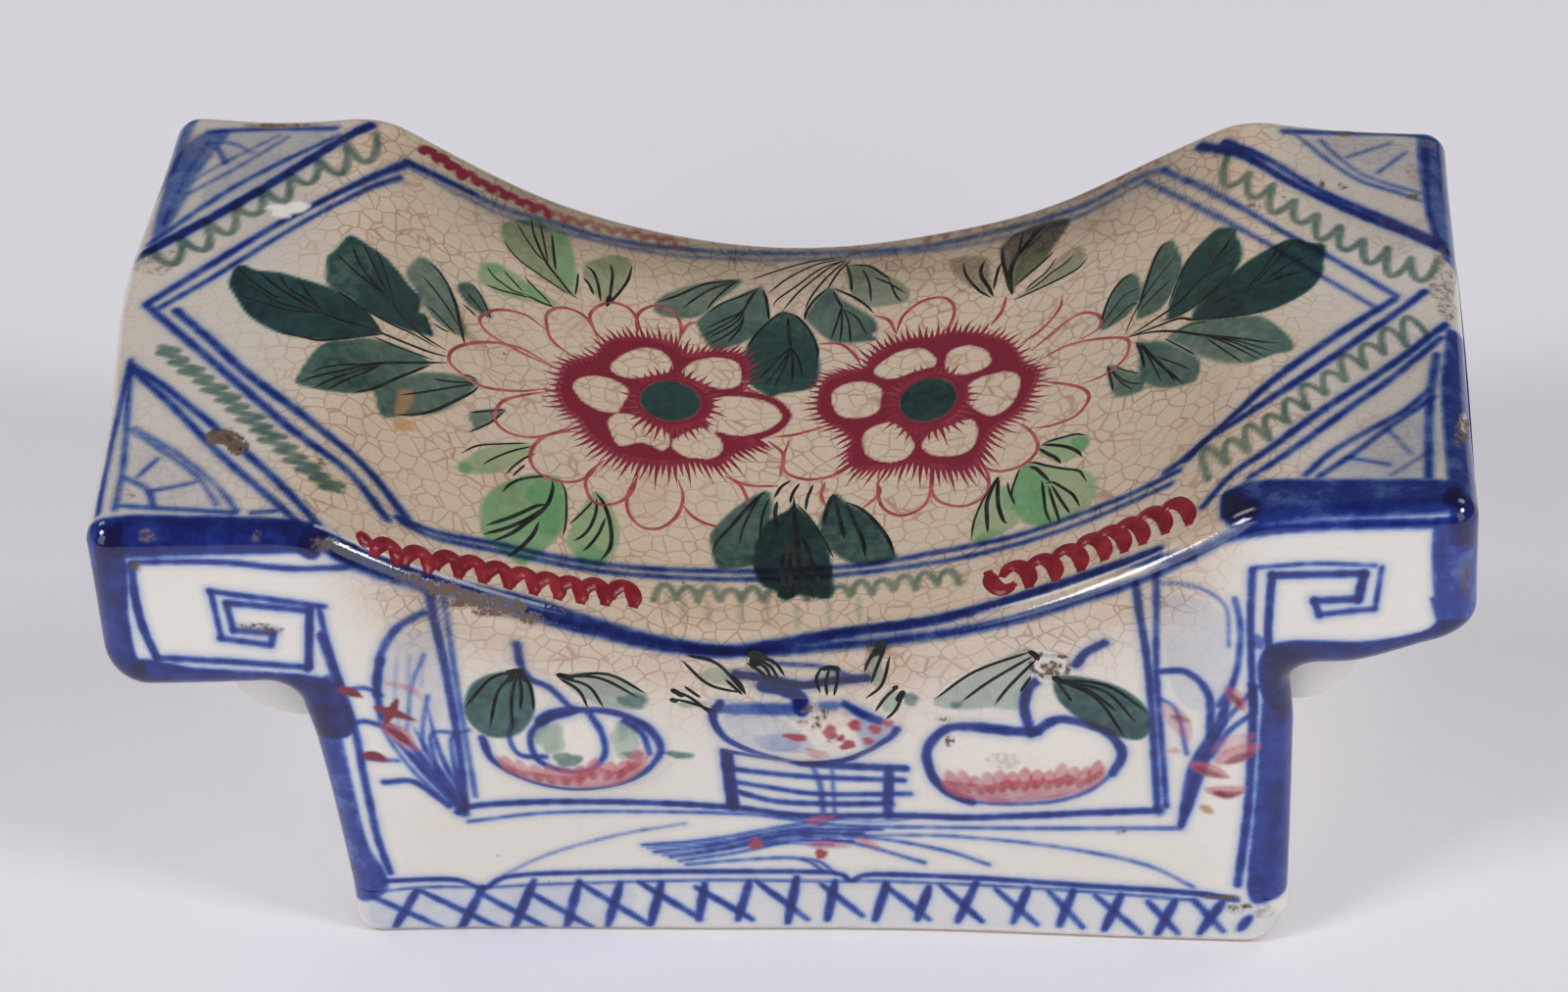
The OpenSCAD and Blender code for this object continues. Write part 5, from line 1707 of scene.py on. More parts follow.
class Nodes:
    """Short words for building a material's node tree."""

    def __init__(self, name):
        self.material = bpy.data.materials.new(name)
        self.material.use_nodes = True
        self.tree = self.material.node_tree
        self.shader = self.tree.nodes["Principled BSDF"]
        self.coords = self.add("ShaderNodeTexCoord").outputs["Object"]

    def add(self, kind, **settings):
        node = self.tree.nodes.new(kind)
        for key, value in settings.items():
            setattr(node, key, value)
        return node

    def link(self, source, target):
        self.tree.links.new(source, target)

    def place(self, target, value):
        if isinstance(value, (int, float, tuple)):
            target.default_value = value
        else:
            self.link(value, target)

    def math(self, operation, one, two=0.0, clamp=False):
        node = self.add("ShaderNodeMath", operation=operation, use_clamp=clamp)
        self.place(node.inputs[0], one)
        self.place(node.inputs[1], two)
        return node.outputs[0]

    def times(self, one, two, clamp=False):
        return self.math("MULTIPLY", one, two, clamp)

    def mix(self, factor, one, two, blend="MIX"):
        node = self.add("ShaderNodeMix", data_type="RGBA", blend_type=blend)
        self.place(node.inputs[0], factor)
        self.place(node.inputs[6], one)
        self.place(node.inputs[7], two)
        return node.outputs[2]

    def remap(self, value, span, to=(0.0, 1.0)):
        """A smooth step over a span of the value, from one number to another."""
        node = self.add("ShaderNodeMapRange", interpolation_type="SMOOTHSTEP")
        self.place(node.inputs[0], value)
        for socket, number in zip(node.inputs[1:5], span + to):
            socket.default_value = number
        return node.outputs[0]

    def noise(self, scale, detail, roughness=0.55):
        node = self.add("ShaderNodeTexNoise")
        self.link(self.coords, node.inputs["Vector"])
        node.inputs["Scale"].default_value = scale
        node.inputs["Detail"].default_value = detail
        node.inputs["Roughness"].default_value = roughness
        return node.outputs["Fac"]

    def cells(self, coords, scale, **settings):
        node = self.add("ShaderNodeTexVoronoi", **settings)
        self.link(coords, node.inputs["Vector"])
        node.inputs["Scale"].default_value = scale
        return node.outputs["Distance"]

    def attribute(self, name):
        return self.add("ShaderNodeAttribute", attribute_name=name).outputs["Fac"]

    def ramp(self, value, stops):
        node = self.add("ShaderNodeValToRGB")
        elements = node.color_ramp.elements
        while len(elements) < len(stops):
            elements.new(0.5)
        for element, (position, colour) in zip(elements, stops):
            element.position = position
            element.color = linear(*colour)
        self.link(value, node.inputs[0])
        return node.outputs[0]

    def cracks(self, scale, width):
        """A net of crazing lines, 1 on a line."""
        shift = self.add("ShaderNodeTexNoise")
        self.link(self.coords, shift.inputs["Vector"])
        shift.inputs["Scale"].default_value = CRACK_SHIFT_SCALE
        moved = self.add("ShaderNodeVectorMath", operation="MULTIPLY_ADD")
        self.link(shift.outputs["Color"], moved.inputs[0])
        moved.inputs[1].default_value = (CRACK_SHIFT,) * 3
        self.link(self.coords, moved.inputs[2])
        edge = self.cells(moved.outputs[0], scale, feature="DISTANCE_TO_EDGE")
        return self.remap(edge, (0.0, width), (1.0, 0.0))

    def surface(self, colour, rough):
        self.place(self.shader.inputs["Base Color"], colour)
        self.place(self.shader.inputs["Roughness"], rough)

    def bump(self, height, distance, strength=1.0):
        """Relief of the surface, with its distance in metres."""
        node = self.add("ShaderNodeBump")
        node.inputs["Strength"].default_value = strength
        node.inputs["Distance"].default_value = distance
        self.link(height, node.inputs["Height"])
        self.link(node.outputs[0], self.shader.inputs["Normal"])


IVORY = linear(238, 234, 227)
# A darker grey that the slab's upward faces take instead of ivory: painted shade of the top
SHADED_GLAZE = linear(200, 198, 196)
BEIGE = linear(206, 185, 162)
STAIN = linear(188, 156, 128)
CRACK = linear(150, 98, 72)
CHIP = linear(222, 218, 212)
RUBBED = linear(98, 76, 58)
PIT = linear(84, 66, 50)

# Inks that lie in the glaze as films: by density, the colour that they let through
WHITE = (255, 255, 255)
FILMS = {
    "cobalt": [
        (0.0, WHITE), (0.1, (202, 214, 240)), (0.28, (106, 140, 218)), (0.48, (36, 66, 168)),
        (0.7, (20, 36, 130)), (1.0, (12, 18, 84)),
    ],
    "teal": [
        (0.0, WHITE), (0.15, (196, 212, 208)), (0.34, (109, 147, 148)), (0.5, (53, 94, 102)),
        (0.7, (30, 62, 72)), (1.0, (16, 42, 52)),
    ],
    "green": [(0.0, WHITE), (0.2, (194, 226, 200)), (0.5, (132, 206, 160)), (1.0, (84, 160, 112))],
    # Smoke is grey smoky paint, and also painted shade where the slab's top is shaded
    "smoke_and_painted_shade": [(0.0, WHITE), (0.3, (170, 170, 160)), (0.6, (106, 108, 104)), (1.0, (70, 73, 72))],
}
FILM_SHARE = 0.5

# Enamels that cover what is below them, with the strength of a full load
COVERS = (
    ("pink", linear(188, 82, 94), 0.9),
    ("ochre", linear(176, 132, 78), 0.7),
    ("crimson", linear(120, 28, 48), 1.7),
)

# Noises of the glaze: waves to the metre, detail and perhaps roughness. Most values lie in the middle span.
MIDDLE = (0.3, 0.7)
BROAD_NOISE = (22, 4)
STAIN_NOISE = (48, 5)
SLOW_NOISE = (60, 2)
RIPPLE_NOISE = (75, 2)
SHEEN_NOISE = (90, 3)
FLOW_NOISE = (150, 3)
CHIP_NOISE = (300, 4)
FINE_NOISE = (420, 2)
GRIT_NOISE = (700, 5, 0.7)
PIT_SCALE = 95

# Crazing: cells to the metre and how much of a cell a line takes, and the share of the finer net
COARSE_CRAZE = (265, 0.085)
FINE_CRAZE = (560, 0.08)
FINE_CRAZE_SHARE = 0.3

# Shares in the colour, the roughness and the relief of the glaze
STAIN_SHARE = 0.45
PIT_SHARE = 0.7
WORN_ROUGH = 0.55
CRACK_DEPTH = 0.05
WORN_DEPTH = 0.35
PIT_DEPTH = 0.2
GLAZE_RELIEF = (0.0006, 0.32)
GLAZE_IOR = 1.6


def glaze():
    """Crazed ivory glaze, with the painting under and over it read from the pieces' own inks."""
    n = Nodes("painted_glaze")
    age = n.attribute("age")
    broad = n.noise(*BROAD_NOISE)
    slow = n.noise(*SLOW_NOISE)
    warm = n.times(age, n.remap(broad, (0.25, 0.75), (0.8, 1.0)))
    # The slab's upward faces are greyed towards a darker tone: painted shade for the weaker light on the top
    colour = n.mix(warm, n.mix(n.attribute("painted_top_shade"), IVORY, SHADED_GLAZE), BEIGE)
    stain = n.times(n.remap(n.noise(*STAIN_NOISE), (0.52, 0.78)), n.times(age, STAIN_SHARE))
    colour = n.mix(stain, colour, STAIN)
    fine_net = n.times(n.cracks(*FINE_CRAZE), FINE_CRAZE_SHARE)
    crack = n.math("MAXIMUM", n.cracks(*COARSE_CRAZE), fine_net)
    crack = n.times(crack, n.remap(slow, MIDDLE, (0.45, 1.0)))
    enamelled = n.math("ADD", n.attribute("teal"), n.attribute("green"), clamp=True)
    crack_seen = n.times(crack, n.remap(age, (0.15, 1.0), (0.04, 0.68)))
    crack_seen = n.times(crack_seen, n.remap(enamelled, (0.0, 0.6), (1.0, 0.25)))
    colour = n.mix(crack_seen, colour, CRACK)
    uneven = n.remap(n.noise(*FINE_NOISE), MIDDLE, (0.9, 1.08))
    flow = n.remap(n.noise(*FLOW_NOISE), MIDDLE, (0.8, 1.16))
    calm = n.remap(slow, MIDDLE, (0.9, 1.12))
    for ink, stops in FILMS.items():
        shade = n.times(flow if ink == "cobalt" else calm, FILM_SHARE)
        density = n.times(n.times(n.attribute(ink), uneven), shade)
        colour = n.mix(1.0, colour, n.ramp(density, stops), "MULTIPLY")
    for ink, paint, strength in COVERS:
        density = n.times(n.times(n.attribute(ink), uneven), flow)
        colour = n.mix(n.times(density, strength, clamp=True), colour, paint)
    chip = n.times(n.attribute("chip"), n.remap(n.noise(*CHIP_NOISE), (0.22, 0.42)), clamp=True)
    colour = n.mix(chip, colour, CHIP)
    grit = n.remap(n.noise(*GRIT_NOISE), (0.42, 0.6))
    worn = n.times(n.attribute("wear"), n.remap(grit, (0.0, 1.0), (0.25, 1.4)), clamp=True)
    colour = n.mix(worn, colour, RUBBED)
    pit = n.remap(n.cells(n.coords, PIT_SCALE), (0.03, 0.055), (1.0, 0.0))
    pit = n.times(pit, n.remap(broad, (0.5, 0.6)))
    colour = n.mix(n.times(pit, PIT_SHARE), colour, PIT)
    rough = n.remap(n.noise(*SHEEN_NOISE), MIDDLE, (0.07, 0.13))
    rough = n.math("ADD", rough, n.times(n.math("MAXIMUM", worn, chip), WORN_ROUGH))
    n.surface(colour, rough)
    height = n.noise(*RIPPLE_NOISE)
    for dent, depth in ((crack, CRACK_DEPTH), (n.times(worn, grit), WORN_DEPTH), (pit, PIT_DEPTH)):
        height = n.math("SUBTRACT", height, n.times(dent, depth))
    n.bump(height, *GLAZE_RELIEF)
    n.shader.inputs["IOR"].default_value = GLAZE_IOR
    return n.material


# Noises of the enamels and the clay, the span of the colours, the enamel's range of roughness, and reliefs
ENAMEL_NOISE = (260, 4)
ENAMEL_SHEEN_NOISE = (500, 3)
ENAMEL_RELIEF_NOISE = (900, 3)
CLAY_NOISE = (180, 5)
CLAY_SHEEN_NOISE = (600, 4)
CLAY_RELIEF_NOISE = (900, 5)
COLOUR_SPAN = (0.35, 0.7)
ENAMEL_ROUGHER = 0.12
ENAMEL_RELIEF = (0.0002, 0.3)
CLAY_RELIEF = 0.0004


def enamel(name, thick, thin, roughness, shine):
    """Enamel that runs thinner and paler in places."""
    n = Nodes(name)
    n.shader.inputs["Specular IOR Level"].default_value = shine
    colour = n.mix(n.remap(n.noise(*ENAMEL_NOISE), COLOUR_SPAN), thick, thin)
    rough = n.remap(n.noise(*ENAMEL_SHEEN_NOISE), MIDDLE, (roughness, roughness + ENAMEL_ROUGHER))
    n.surface(colour, rough)
    n.bump(n.noise(*ENAMEL_RELIEF_NOISE), *ENAMEL_RELIEF)
    return n.material


def bare_clay():
    """Unglazed buff clay, for the inside coils."""
    n = Nodes("bare_clay")
    mottle = n.remap(n.noise(*CLAY_NOISE), COLOUR_SPAN)
    colour = n.mix(mottle, linear(206, 190, 168), linear(176, 152, 124))
    n.surface(colour, n.remap(n.noise(*CLAY_SHEEN_NOISE), MIDDLE, (0.75, 0.95)))
    n.bump(n.noise(*CLAY_RELIEF_NOISE), CLAY_RELIEF)
    return n.material


GLAZE = glaze()
CLAY = bare_clay()
SHARP_ANGLE = math.radians(42)

# The share of the bake's square that the shown faces take, and the spot where the hidden ones lie
SHOWN_UV = 0.99
HIDDEN_UV = 0.999


def piece(name, points, shown, hidden=(), inks=None, age=0.0, uv=None, nodes=(),
          material=GLAZE, painted_top_shade=0.0):
    """Makes a piece from points in millimetres. The hidden faces close it and carry no painting."""
    mesh = bpy.data.meshes.new(name)
    mesh.from_pydata((np.asarray(points) * MM).tolist(), [], list(shown) + list(hidden))
    count = len(mesh.vertices)
    # Besides the inks, two layers: how stained the glaze is, and where a face takes the top's painted shade
    layers = {**(inks or {}), "age": np.broadcast_to(age, count), "painted_top_shade": np.broadcast_to(painted_top_shade, count)}
    for ink, amounts in layers.items():
        if np.any(amounts):
            layer = mesh.attributes.new(ink, "FLOAT", "POINT")
            layer.data.foreach_set("value", np.ascontiguousarray(amounts, np.float32))
    if uv is not None:
        low, high = uv.min(axis=0), uv.max(axis=0)
        flat = (uv - low) / (high - low).max() * SHOWN_UV
        corner = np.empty(len(mesh.loops), np.int32)
        mesh.loops.foreach_get("vertex_index", corner)
        placed = flat[corner]
        shown_loops = sum(len(face) for face in shown)
        placed[shown_loops:] = HIDDEN_UV
        layer = mesh.uv_layers.new(name="OFBake")
        layer.data.foreach_set("uv", placed.astype(np.float32).ravel())
    mesh.polygons.foreach_set("use_smooth", np.ones(len(mesh.polygons), bool))
    mesh.set_sharp_from_angle(angle=SHARP_ANGLE)
    mesh.materials.append(material)
    obj = bpy.data.objects.new(name, mesh)
    bpy.context.scene.collection.objects.link(obj)
    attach(obj, "root")
    if nodes:
        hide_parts(*nodes)


def no_inks(count):
    return {ink: np.zeros(count) for ink in INKS}


def even_steps(low, high, step):
    return np.linspace(low, high, round((high - low) / step) + 1)


def level_line(x, z):
    """Points at one height."""
    return np.stack([x, np.full_like(x, z)], axis=-1)


def at_depth(flat, y):
    """A flat figure's points, stood upright at a depth."""
    return np.stack([flat[:, 0], np.full(len(flat), y), flat[:, 1]], axis=-1)


def closed_loop(first, count):
    """The edges of a closed run of points."""
    return [(first + i, first + (i + 1) % count) for i in range(count)]


# Saddle slab

slab_u = np.concatenate([
    np.linspace(-TOP_U, -FLAT_U, round(LIP_LENGTH / TOP_STEP), endpoint=False),
    np.linspace(-FLAT_U, FLAT_U, round(2 * FLAT_U / TOP_STEP), endpoint=False),
    np.linspace(FLAT_U, TOP_U, round(LIP_LENGTH / TOP_STEP) + 1)])
slab_v = even_steps(-TOP_V, TOP_V, TOP_STEP)

# Staining of a panel: its share just under the lip, how fast it fades in millimetres, the share left further
# down and at the sides, and where the sides begin
LIP_STAIN = 0.75
STAIN_FADES = 9
LOW_STAIN = 0.14
LEAST_STAIN = 0.05
CLEAN_SIDES = 0.9
PANEL_SIDES = (70, 28)

# How much cleaner the top's lands are than its hollow, and where they begin
CLEAN_LANDS = 0.58
TOP_LANDS = (84, 30)


def panel_age(along, drop):
    """How stained the glaze is on a panel: most just under the slab's lip in the middle."""
    middle = 1 - CLEAN_SIDES * after(np.abs(along), *PANEL_SIDES)
    lip = LIP_STAIN * np.exp(-np.maximum(drop - SLAB_T, 0) / STAIN_FADES)
    return (lip + LOW_STAIN) * middle + LEAST_STAIN


def top_age(u, v, x):
    """How stained the glaze is on the slab: most in the hollow, and low on its lips as on the panels."""
    above = 1 - CLEAN_LANDS * after(np.abs(u), *TOP_LANDS)
    below = after(np.abs(v), FLAT_V, LIP_R * QUARTER_TURN)
    return above + (panel_age(x, SLAB_T) - above) * below


# Smoke laid over the slab: its share, and where it begins or ends along the slab and across it. It is
# painted shade at the back of the hollow and at the back of both lands, and it darkens the right land towards
# the front.
HOLLOW_PAINTED_SHADE = 0.42
HOLLOW_PAINTED_SHADE_U = (60, 35)
HOLLOW_PAINTED_SHADE_V = (34, 26)
RIGHT_LAND_DARKENING = 0.16
RIGHT_LAND_DARKENING_U = (95, 25)
RIGHT_LAND_DARKENING_V = (10, 40)
BACK_LAND_PAINTED_SHADE = 0.14
BACK_LAND_PAINTED_SHADE_U = (92, 20)
BACK_LAND_PAINTED_SHADE_V = (12, 24)

# How near the front or back plane the slab's skin carries the panel's painting, as a share of the lip
SKIRT_SHARE = 0.2


def saddle_top():
    rows, cols = len(slab_v), len(slab_u)
    coords = np.stack([np.tile(slab_u, rows), np.repeat(slab_v, cols)], axis=-1)
    points = top_ideal(coords)
    inks = no_inks(len(coords))
    top.paint(coords, inks)
    for chart, side in ((front, -1), (back, 1)):
        skirt = side * points[:, 1] > HALF_D - SKIRT_SHARE * LIP_R
        chart.paint(np.where(skirt[:, None], points[:, [0, 2]] * [-side, 1], FAR_AWAY), inks)
    u, v = coords.T
    aside = np.abs(u)
    above = 1 - after(np.abs(v), FLAT_V, LIP_R)
    # Painted shade at the back of the hollow and at the back of both lands, where less light falls; the right
    # land is darkened towards the front
    inks["smoke_and_painted_shade"] += HOLLOW_PAINTED_SHADE * after(v, *HOLLOW_PAINTED_SHADE_V) * (1 - after(aside, *HOLLOW_PAINTED_SHADE_U))
    inks["smoke_and_painted_shade"] += RIGHT_LAND_DARKENING * above * after(u, *RIGHT_LAND_DARKENING_U) * before(v, *RIGHT_LAND_DARKENING_V)
    inks["smoke_and_painted_shade"] += BACK_LAND_PAINTED_SHADE * above * after(aside, *BACK_LAND_PAINTED_SHADE_U) * after(v, *BACK_LAND_PAINTED_SHADE_V)
    last = (rows - 1) * cols
    hidden = strip_faces(range(cols), range(last, last + cols))
    hidden.append(tuple(range(0, rows * cols, cols)))
    hidden.append(tuple(reversed(range(cols - 1, rows * cols, cols))))
    over = np.maximum(np.abs(coords) - [FLAT_U, FLAT_V], 0).max(axis=1)
    # The top's flat faces carry painted shade, which fades out round its lips
    piece("saddle_top_skin", warp(points), grid_faces(rows, cols), hidden, inks,
          top_age(u, v, points[:, 0]), coords, ("saddle_top",),
          painted_top_shade=1 - ease(over / (LIP_R * QUARTER_TURN)))


# Panels and the walls between them

# The right side of a panel, and the fewest points of a rounded corner
SIDE_CORNERS = [(HALF_W, SEAM_Z), (HALF_W, OVERHANG_Z), (HALF_TOP, OVERHANG_Z), (HALF_FOOT, FLOOR_T)]
SIDE_RADII = [OUTER_CORNER_R, INNER_CORNER_R]
LEAST_ARC = 4


def rounded_path(step):
    """Points and outward normals down the right side of a panel, whose corners are rounded."""
    points, normals = [], []
    corners = np.array(SIDE_CORNERS, float)
    start = corners[0]

    def straight(a, b):
        way = unit(b - a)
        for t in np.linspace(0, 1, max(2, math.ceil(np.linalg.norm(b - a) / step)), endpoint=False):
            points.append(a + (b - a) * t)
            normals.append(np.array([-way[1], way[0]]))

    for i, radius in enumerate(SIDE_RADII):
        a, b, c = corners[i:i + 3]
        way_in, way_out = unit(b - a), unit(c - b)
        cross = way_in[0] * way_out[1] - way_in[1] * way_out[0]
        angle = math.atan2(cross, way_in @ way_out)
        hand = math.copysign(1, angle)
        back_off = radius * math.tan(abs(angle) / 2)
        straight(start, b - way_in * back_off)
        out = np.array([-way_in[1], way_in[0]])
        middle = b - way_in * back_off + out * radius * hand
        count = max(LEAST_ARC, math.ceil(abs(angle) * (radius + LIP_R) / step))
        for t in np.linspace(0, angle, count, endpoint=False):
            turned = np.array([out[0] * math.cos(t) - out[1] * math.sin(t),
                               out[0] * math.sin(t) + out[1] * math.cos(t)])
            points.append(middle - turned * radius * hand)
            normals.append(turned)
        start = b + way_out * back_off
    straight(start, corners[-1])
    points.append(corners[-1])
    normals.append(normals[-1])
    return np.array(points), np.array(normals)


# Steps round a panel's edge
ROUND_STEPS = 8

# How near a row of points comes to the panel's right edge, in steps
ROW_END = 0.4

# How far below the top its painting runs on over a panel, in millimetres
TOP_PAINT_DROP = 28


def seam_points():
    """The slab's lower edge on the front plane, from left to right."""
    u = slab_u[np.abs(slab_u) <= FLAT_U + CLOSE]
    return top_ideal(np.stack([u, np.full_like(u, -TOP_V)], axis=-1))[:, [0, 2]]


def filled(outline):
    """An outline's points with rows of points inside it, and the triangles between them all."""
    following = np.roll(outline, -1, axis=0)
    inner = []
    for k, z in enumerate(even_steps(FLOOR_T + PANEL_STEP / 2, SEAM_Z - PANEL_STEP / 2, PANEL_STEP)):
        crossing = (outline[:, 1] < z) != (following[:, 1] < z)
        a, b = outline[crossing], following[crossing]
        cuts = np.sort(a[:, 0] + (z - a[:, 1]) * (b[:, 0] - a[:, 0]) / (b[:, 1] - a[:, 1]))
        for x0, x1 in zip(cuts[::2], cuts[1::2]):
            if x1 - x0 > 2 * PANEL_STEP:
                start = x0 + PANEL_STEP * (0.5 + 0.5 * (k % 2))
                inner.append(level_line(np.arange(start, x1 - PANEL_STEP * ROW_END, PANEL_STEP), z))
    flat = np.vstack([outline] + inner)
    made = delaunay_2d_cdt([Vector(p) for p in flat], closed_loop(0, len(outline)), [], 1, CLOSE)
    return np.array([tuple(p) for p in made[0]]), [tuple(face) for face in made[2]]


def panel(name, side, chart):
    """The front panel with side -1, or the back panel with side 1: flat face, rounded edges, flat inside."""
    edge, normal = rounded_path(PANEL_STEP)
    seam = seam_points()
    right = edge - normal * LIP_R
    right[0] = seam[-1]
    seam = seam[1:-1]
    floor_line = level_line(even_steps(right[-1, 0], -right[-1, 0], -PANEL_STEP)[1:-1], FLOOR_T)
    flat, shown = filled(np.vstack([seam, right, floor_line, right[::-1] * [-1, 1]]))
    strip = len(right)
    floor_start = len(seam) + strip
    left_start = floor_start + len(floor_line)
    points, coords = [at_depth(flat, -HALF_D)], [flat]
    count = len(flat)
    flipped = [-1, 1]
    sides = ((len(seam), edge, normal), (left_start, edge[::-1] * flipped, normal[::-1] * flipped))
    edge_rows = []
    for first, path, out in sides:
        base = path - out * LIP_R
        rows = [range(first, first + strip)]
        for k in range(1, ROUND_STEPS + 2):
            bend = min(k, ROUND_STEPS) / ROUND_STEPS * QUARTER_TURN
            run = max(k - ROUND_STEPS, 0) * (WALL_T - LIP_R)
            level = base + out * LIP_R * math.sin(bend)
            points.append(at_depth(level, -HALF_D + LIP_R * (1 - math.cos(bend)) + run))
            coords.append(base + out * (LIP_R * bend + run))
            rows.append(range(count, count + strip))
            shown += strip_faces(rows[-2], rows[-1])
            count += strip
        edge_rows.append(rows)
    right_rows, left_rows = edge_rows
    points += [at_depth(seam, -INNER_D), at_depth(floor_line, -INNER_D)]
    coords += [seam, floor_line]
    seam_face, seam_inner = range(len(seam)), range(count, count + len(seam))
    floor_face = range(floor_start, left_start)
    floor_inner = range(seam_inner.stop, seam_inner.stop + len(floor_line))
    hidden = strip_faces(seam_face, seam_inner) + strip_faces(floor_face, floor_inner)
    hidden.append((*(row[0] for row in right_rows), seam_inner[-1], seam_face[-1]))
    hidden.append((floor_face[0], floor_inner[0], *(row[-1] for row in reversed(right_rows))))
    hidden.append((*(row[0] for row in left_rows), floor_inner[-1], floor_face[-1]))
    hidden.append((seam_face[0], seam_inner[0], *(row[-1] for row in reversed(left_rows))))
    hidden.append((*seam_inner, *right_rows[-1], *floor_inner, *left_rows[-1])[::-1])
    points, coords = np.vstack(points), np.vstack(coords)
    if side > 0:
        points = points * [1, -1, 1]
        shown = [face[::-1] for face in shown]
        hidden = [face[::-1] for face in hidden]
    inks = no_inks(len(points))
    chart.paint(coords * [-side, 1], inks)
    u, drop = top_coords_below(*coords.T)
    v = side * (FLAT_V + LIP_R * QUARTER_TURN + drop - LIP_R)
    near = (drop > 0) & (drop < TOP_PAINT_DROP)
    top.paint(np.where(near[:, None], np.stack([u, v], axis=-1), FAR_AWAY), inks)
    age = panel_age(coords[:, 0], drop)
    piece(name + "_skin", warp(points), shown, hidden, inks, age, coords, nodes=(name,))


END_AGE = 0.12


def swept_wall(node, mirror, low_s, high_s, swell=0.0):
    """A stretch of an end's skin between the panels, from one length down its side to another."""
    edge, normal = rounded_path(END_STEP)
    run = lengths_along(edge)
    keep = (run >= low_s - CLOSE) & (run <= high_s + CLOSE)
    edge, normal, run = edge[keep], normal[keep], run[keep]
    y = even_steps(-INNER_D, INNER_D, END_STEP)
    rows, cols = len(y), len(edge)
    count = rows * cols
    bulge = swell * (1 - (y / INNER_D) ** 2)
    points = np.empty((2, rows, cols, 3))
    for skin, depth in zip(points, (0, WALL_T)):
        level = edge[None] + normal[None] * (bulge[:, None, None] - depth)
        skin[..., 0] = level[..., 0] * mirror
        skin[..., 1] = y[:, None]
        skin[..., 2] = level[..., 1]
    points = points.reshape(-1, 3)
    shown = grid_faces(rows, cols, mirror > 0)
    hidden = [tuple(i + count for i in face) for face in grid_faces(rows, cols, mirror < 0)]
    index = np.arange(count).reshape(rows, cols)
    border = np.concatenate([index[0], index[1:, -1], index[-1, -2::-1], index[-2::-1, 0]]).tolist()
    beyond = [i + count for i in border]
    hidden += strip_faces(border, beyond) if mirror < 0 else strip_faces(beyond, border)
    flat = np.stack([np.repeat(y, cols) * mirror, np.tile(SEAM_Z - run, rows)], axis=-1)
    inks = no_inks(len(points))
    end_chart.paint(np.vstack([flat, np.full_like(flat, FAR_AWAY)]), inks)
    uv = np.vstack([flat, flat])
    piece(node + "_skin", warp(points), shown, hidden, inks, END_AGE, uv, nodes=(node,))


# The clay rolls: from what angle to what angle in degrees they show, in so many points, how much and how late
# they thin towards their ends, and how far they are set in, raised and buried, in millimetres
ROLL_ANGLES = (4, -94, 26)
ROLL_THINS = 0.12
ROLL_THIN_POWER = 10
ROLL_SET_IN = 0.4
ROLL_RAISED = 0.2
ROLL_BURIED = 2


def corner_roll(node, mirror):
    """The clay roll luted into the angle under an overhang, softly rounded off at its ends."""
    y = even_steps(-INNER_D, INNER_D, ROLL_STEP)
    size = ROLL_R * (1 - ROLL_THINS * np.abs(y / INNER_D) ** ROLL_THIN_POWER)
    turns = np.radians(np.linspace(*ROLL_ANGLES))
    rows, cols = len(y), len(turns) + 1
    points = np.empty((rows, cols, 3))
    points[:, :-1, 0] = mirror * (HALF_TOP - ROLL_SET_IN + np.outer(size, np.cos(turns)))
    points[:, :-1, 2] = OVERHANG_Z + ROLL_RAISED + np.outer(size, np.sin(turns))
    points[:, -1, 0] = mirror * (HALF_TOP - ROLL_BURIED)
    points[:, -1, 2] = OVERHANG_Z + ROLL_BURIED
    points[..., 1] = y[:, None]
    last = (rows - 1) * cols
    caps = [tuple(range(cols)), tuple(reversed(range(last, last + cols)))]
    if mirror < 0:
        caps = [cap[::-1] for cap in caps]
    shown = ring_faces(0, rows, cols, mirror > 0) + caps
    piece(node + "_skin", warp(points.reshape(-1, 3)), shown, nodes=(node,))


# The floor slab: points of its lower arris and of the vent, how far past the foot the plinth's painting is
# looked for in millimetres, and how stained its foot and the plinth are
ARRIS_POINTS = 5
VENT_POINTS = 40
PLINTH_ROOM = 4
FOOT_AGE = 0.5
PLINTH_AGE = 0.06

# Triangles whose middle lies this far out from the vent's middle are clay, as a share of its radius
VENT_INSIDE = 0.98


def floor_plan():
    """Points round the floor, the way out from each, how far round each lies, and the whole length."""
    corner_run = LIP_R * QUARTER_TURN
    wide, deep = HALF_FOOT - LIP_R, FLAT_V
    sides = [((-wide, -deep), (1, 0), 2 * wide), ((wide, -deep), (0, 1), 2 * deep),
             ((wide, deep), (-1, 0), 2 * wide), ((-wide, deep), (0, -1), 2 * deep)]
    plan, run_at = [], []
    run = 0.0
    for (x, y), (way_x, way_y), length in sides:
        out_x, out_y = way_y, -way_x
        for t in np.linspace(0, length, round(length / FLOOR_STEP), endpoint=False):
            plan.append((x + way_x * t, y + way_y * t, out_x, out_y))
            run_at.append(run + t)
        run += length
        end_x, end_y = x + way_x * length, y + way_y * length
        for t in np.linspace(0, QUARTER_TURN, round(corner_run / FLOOR_STEP), endpoint=False):
            c, s = math.cos(t), math.sin(t)
            plan.append((end_x, end_y, out_x * c + way_x * s, out_y * c + way_y * s))
            run_at.append(run + t * LIP_R)
        run += corner_run
    return np.array(plan), np.array(run_at), run


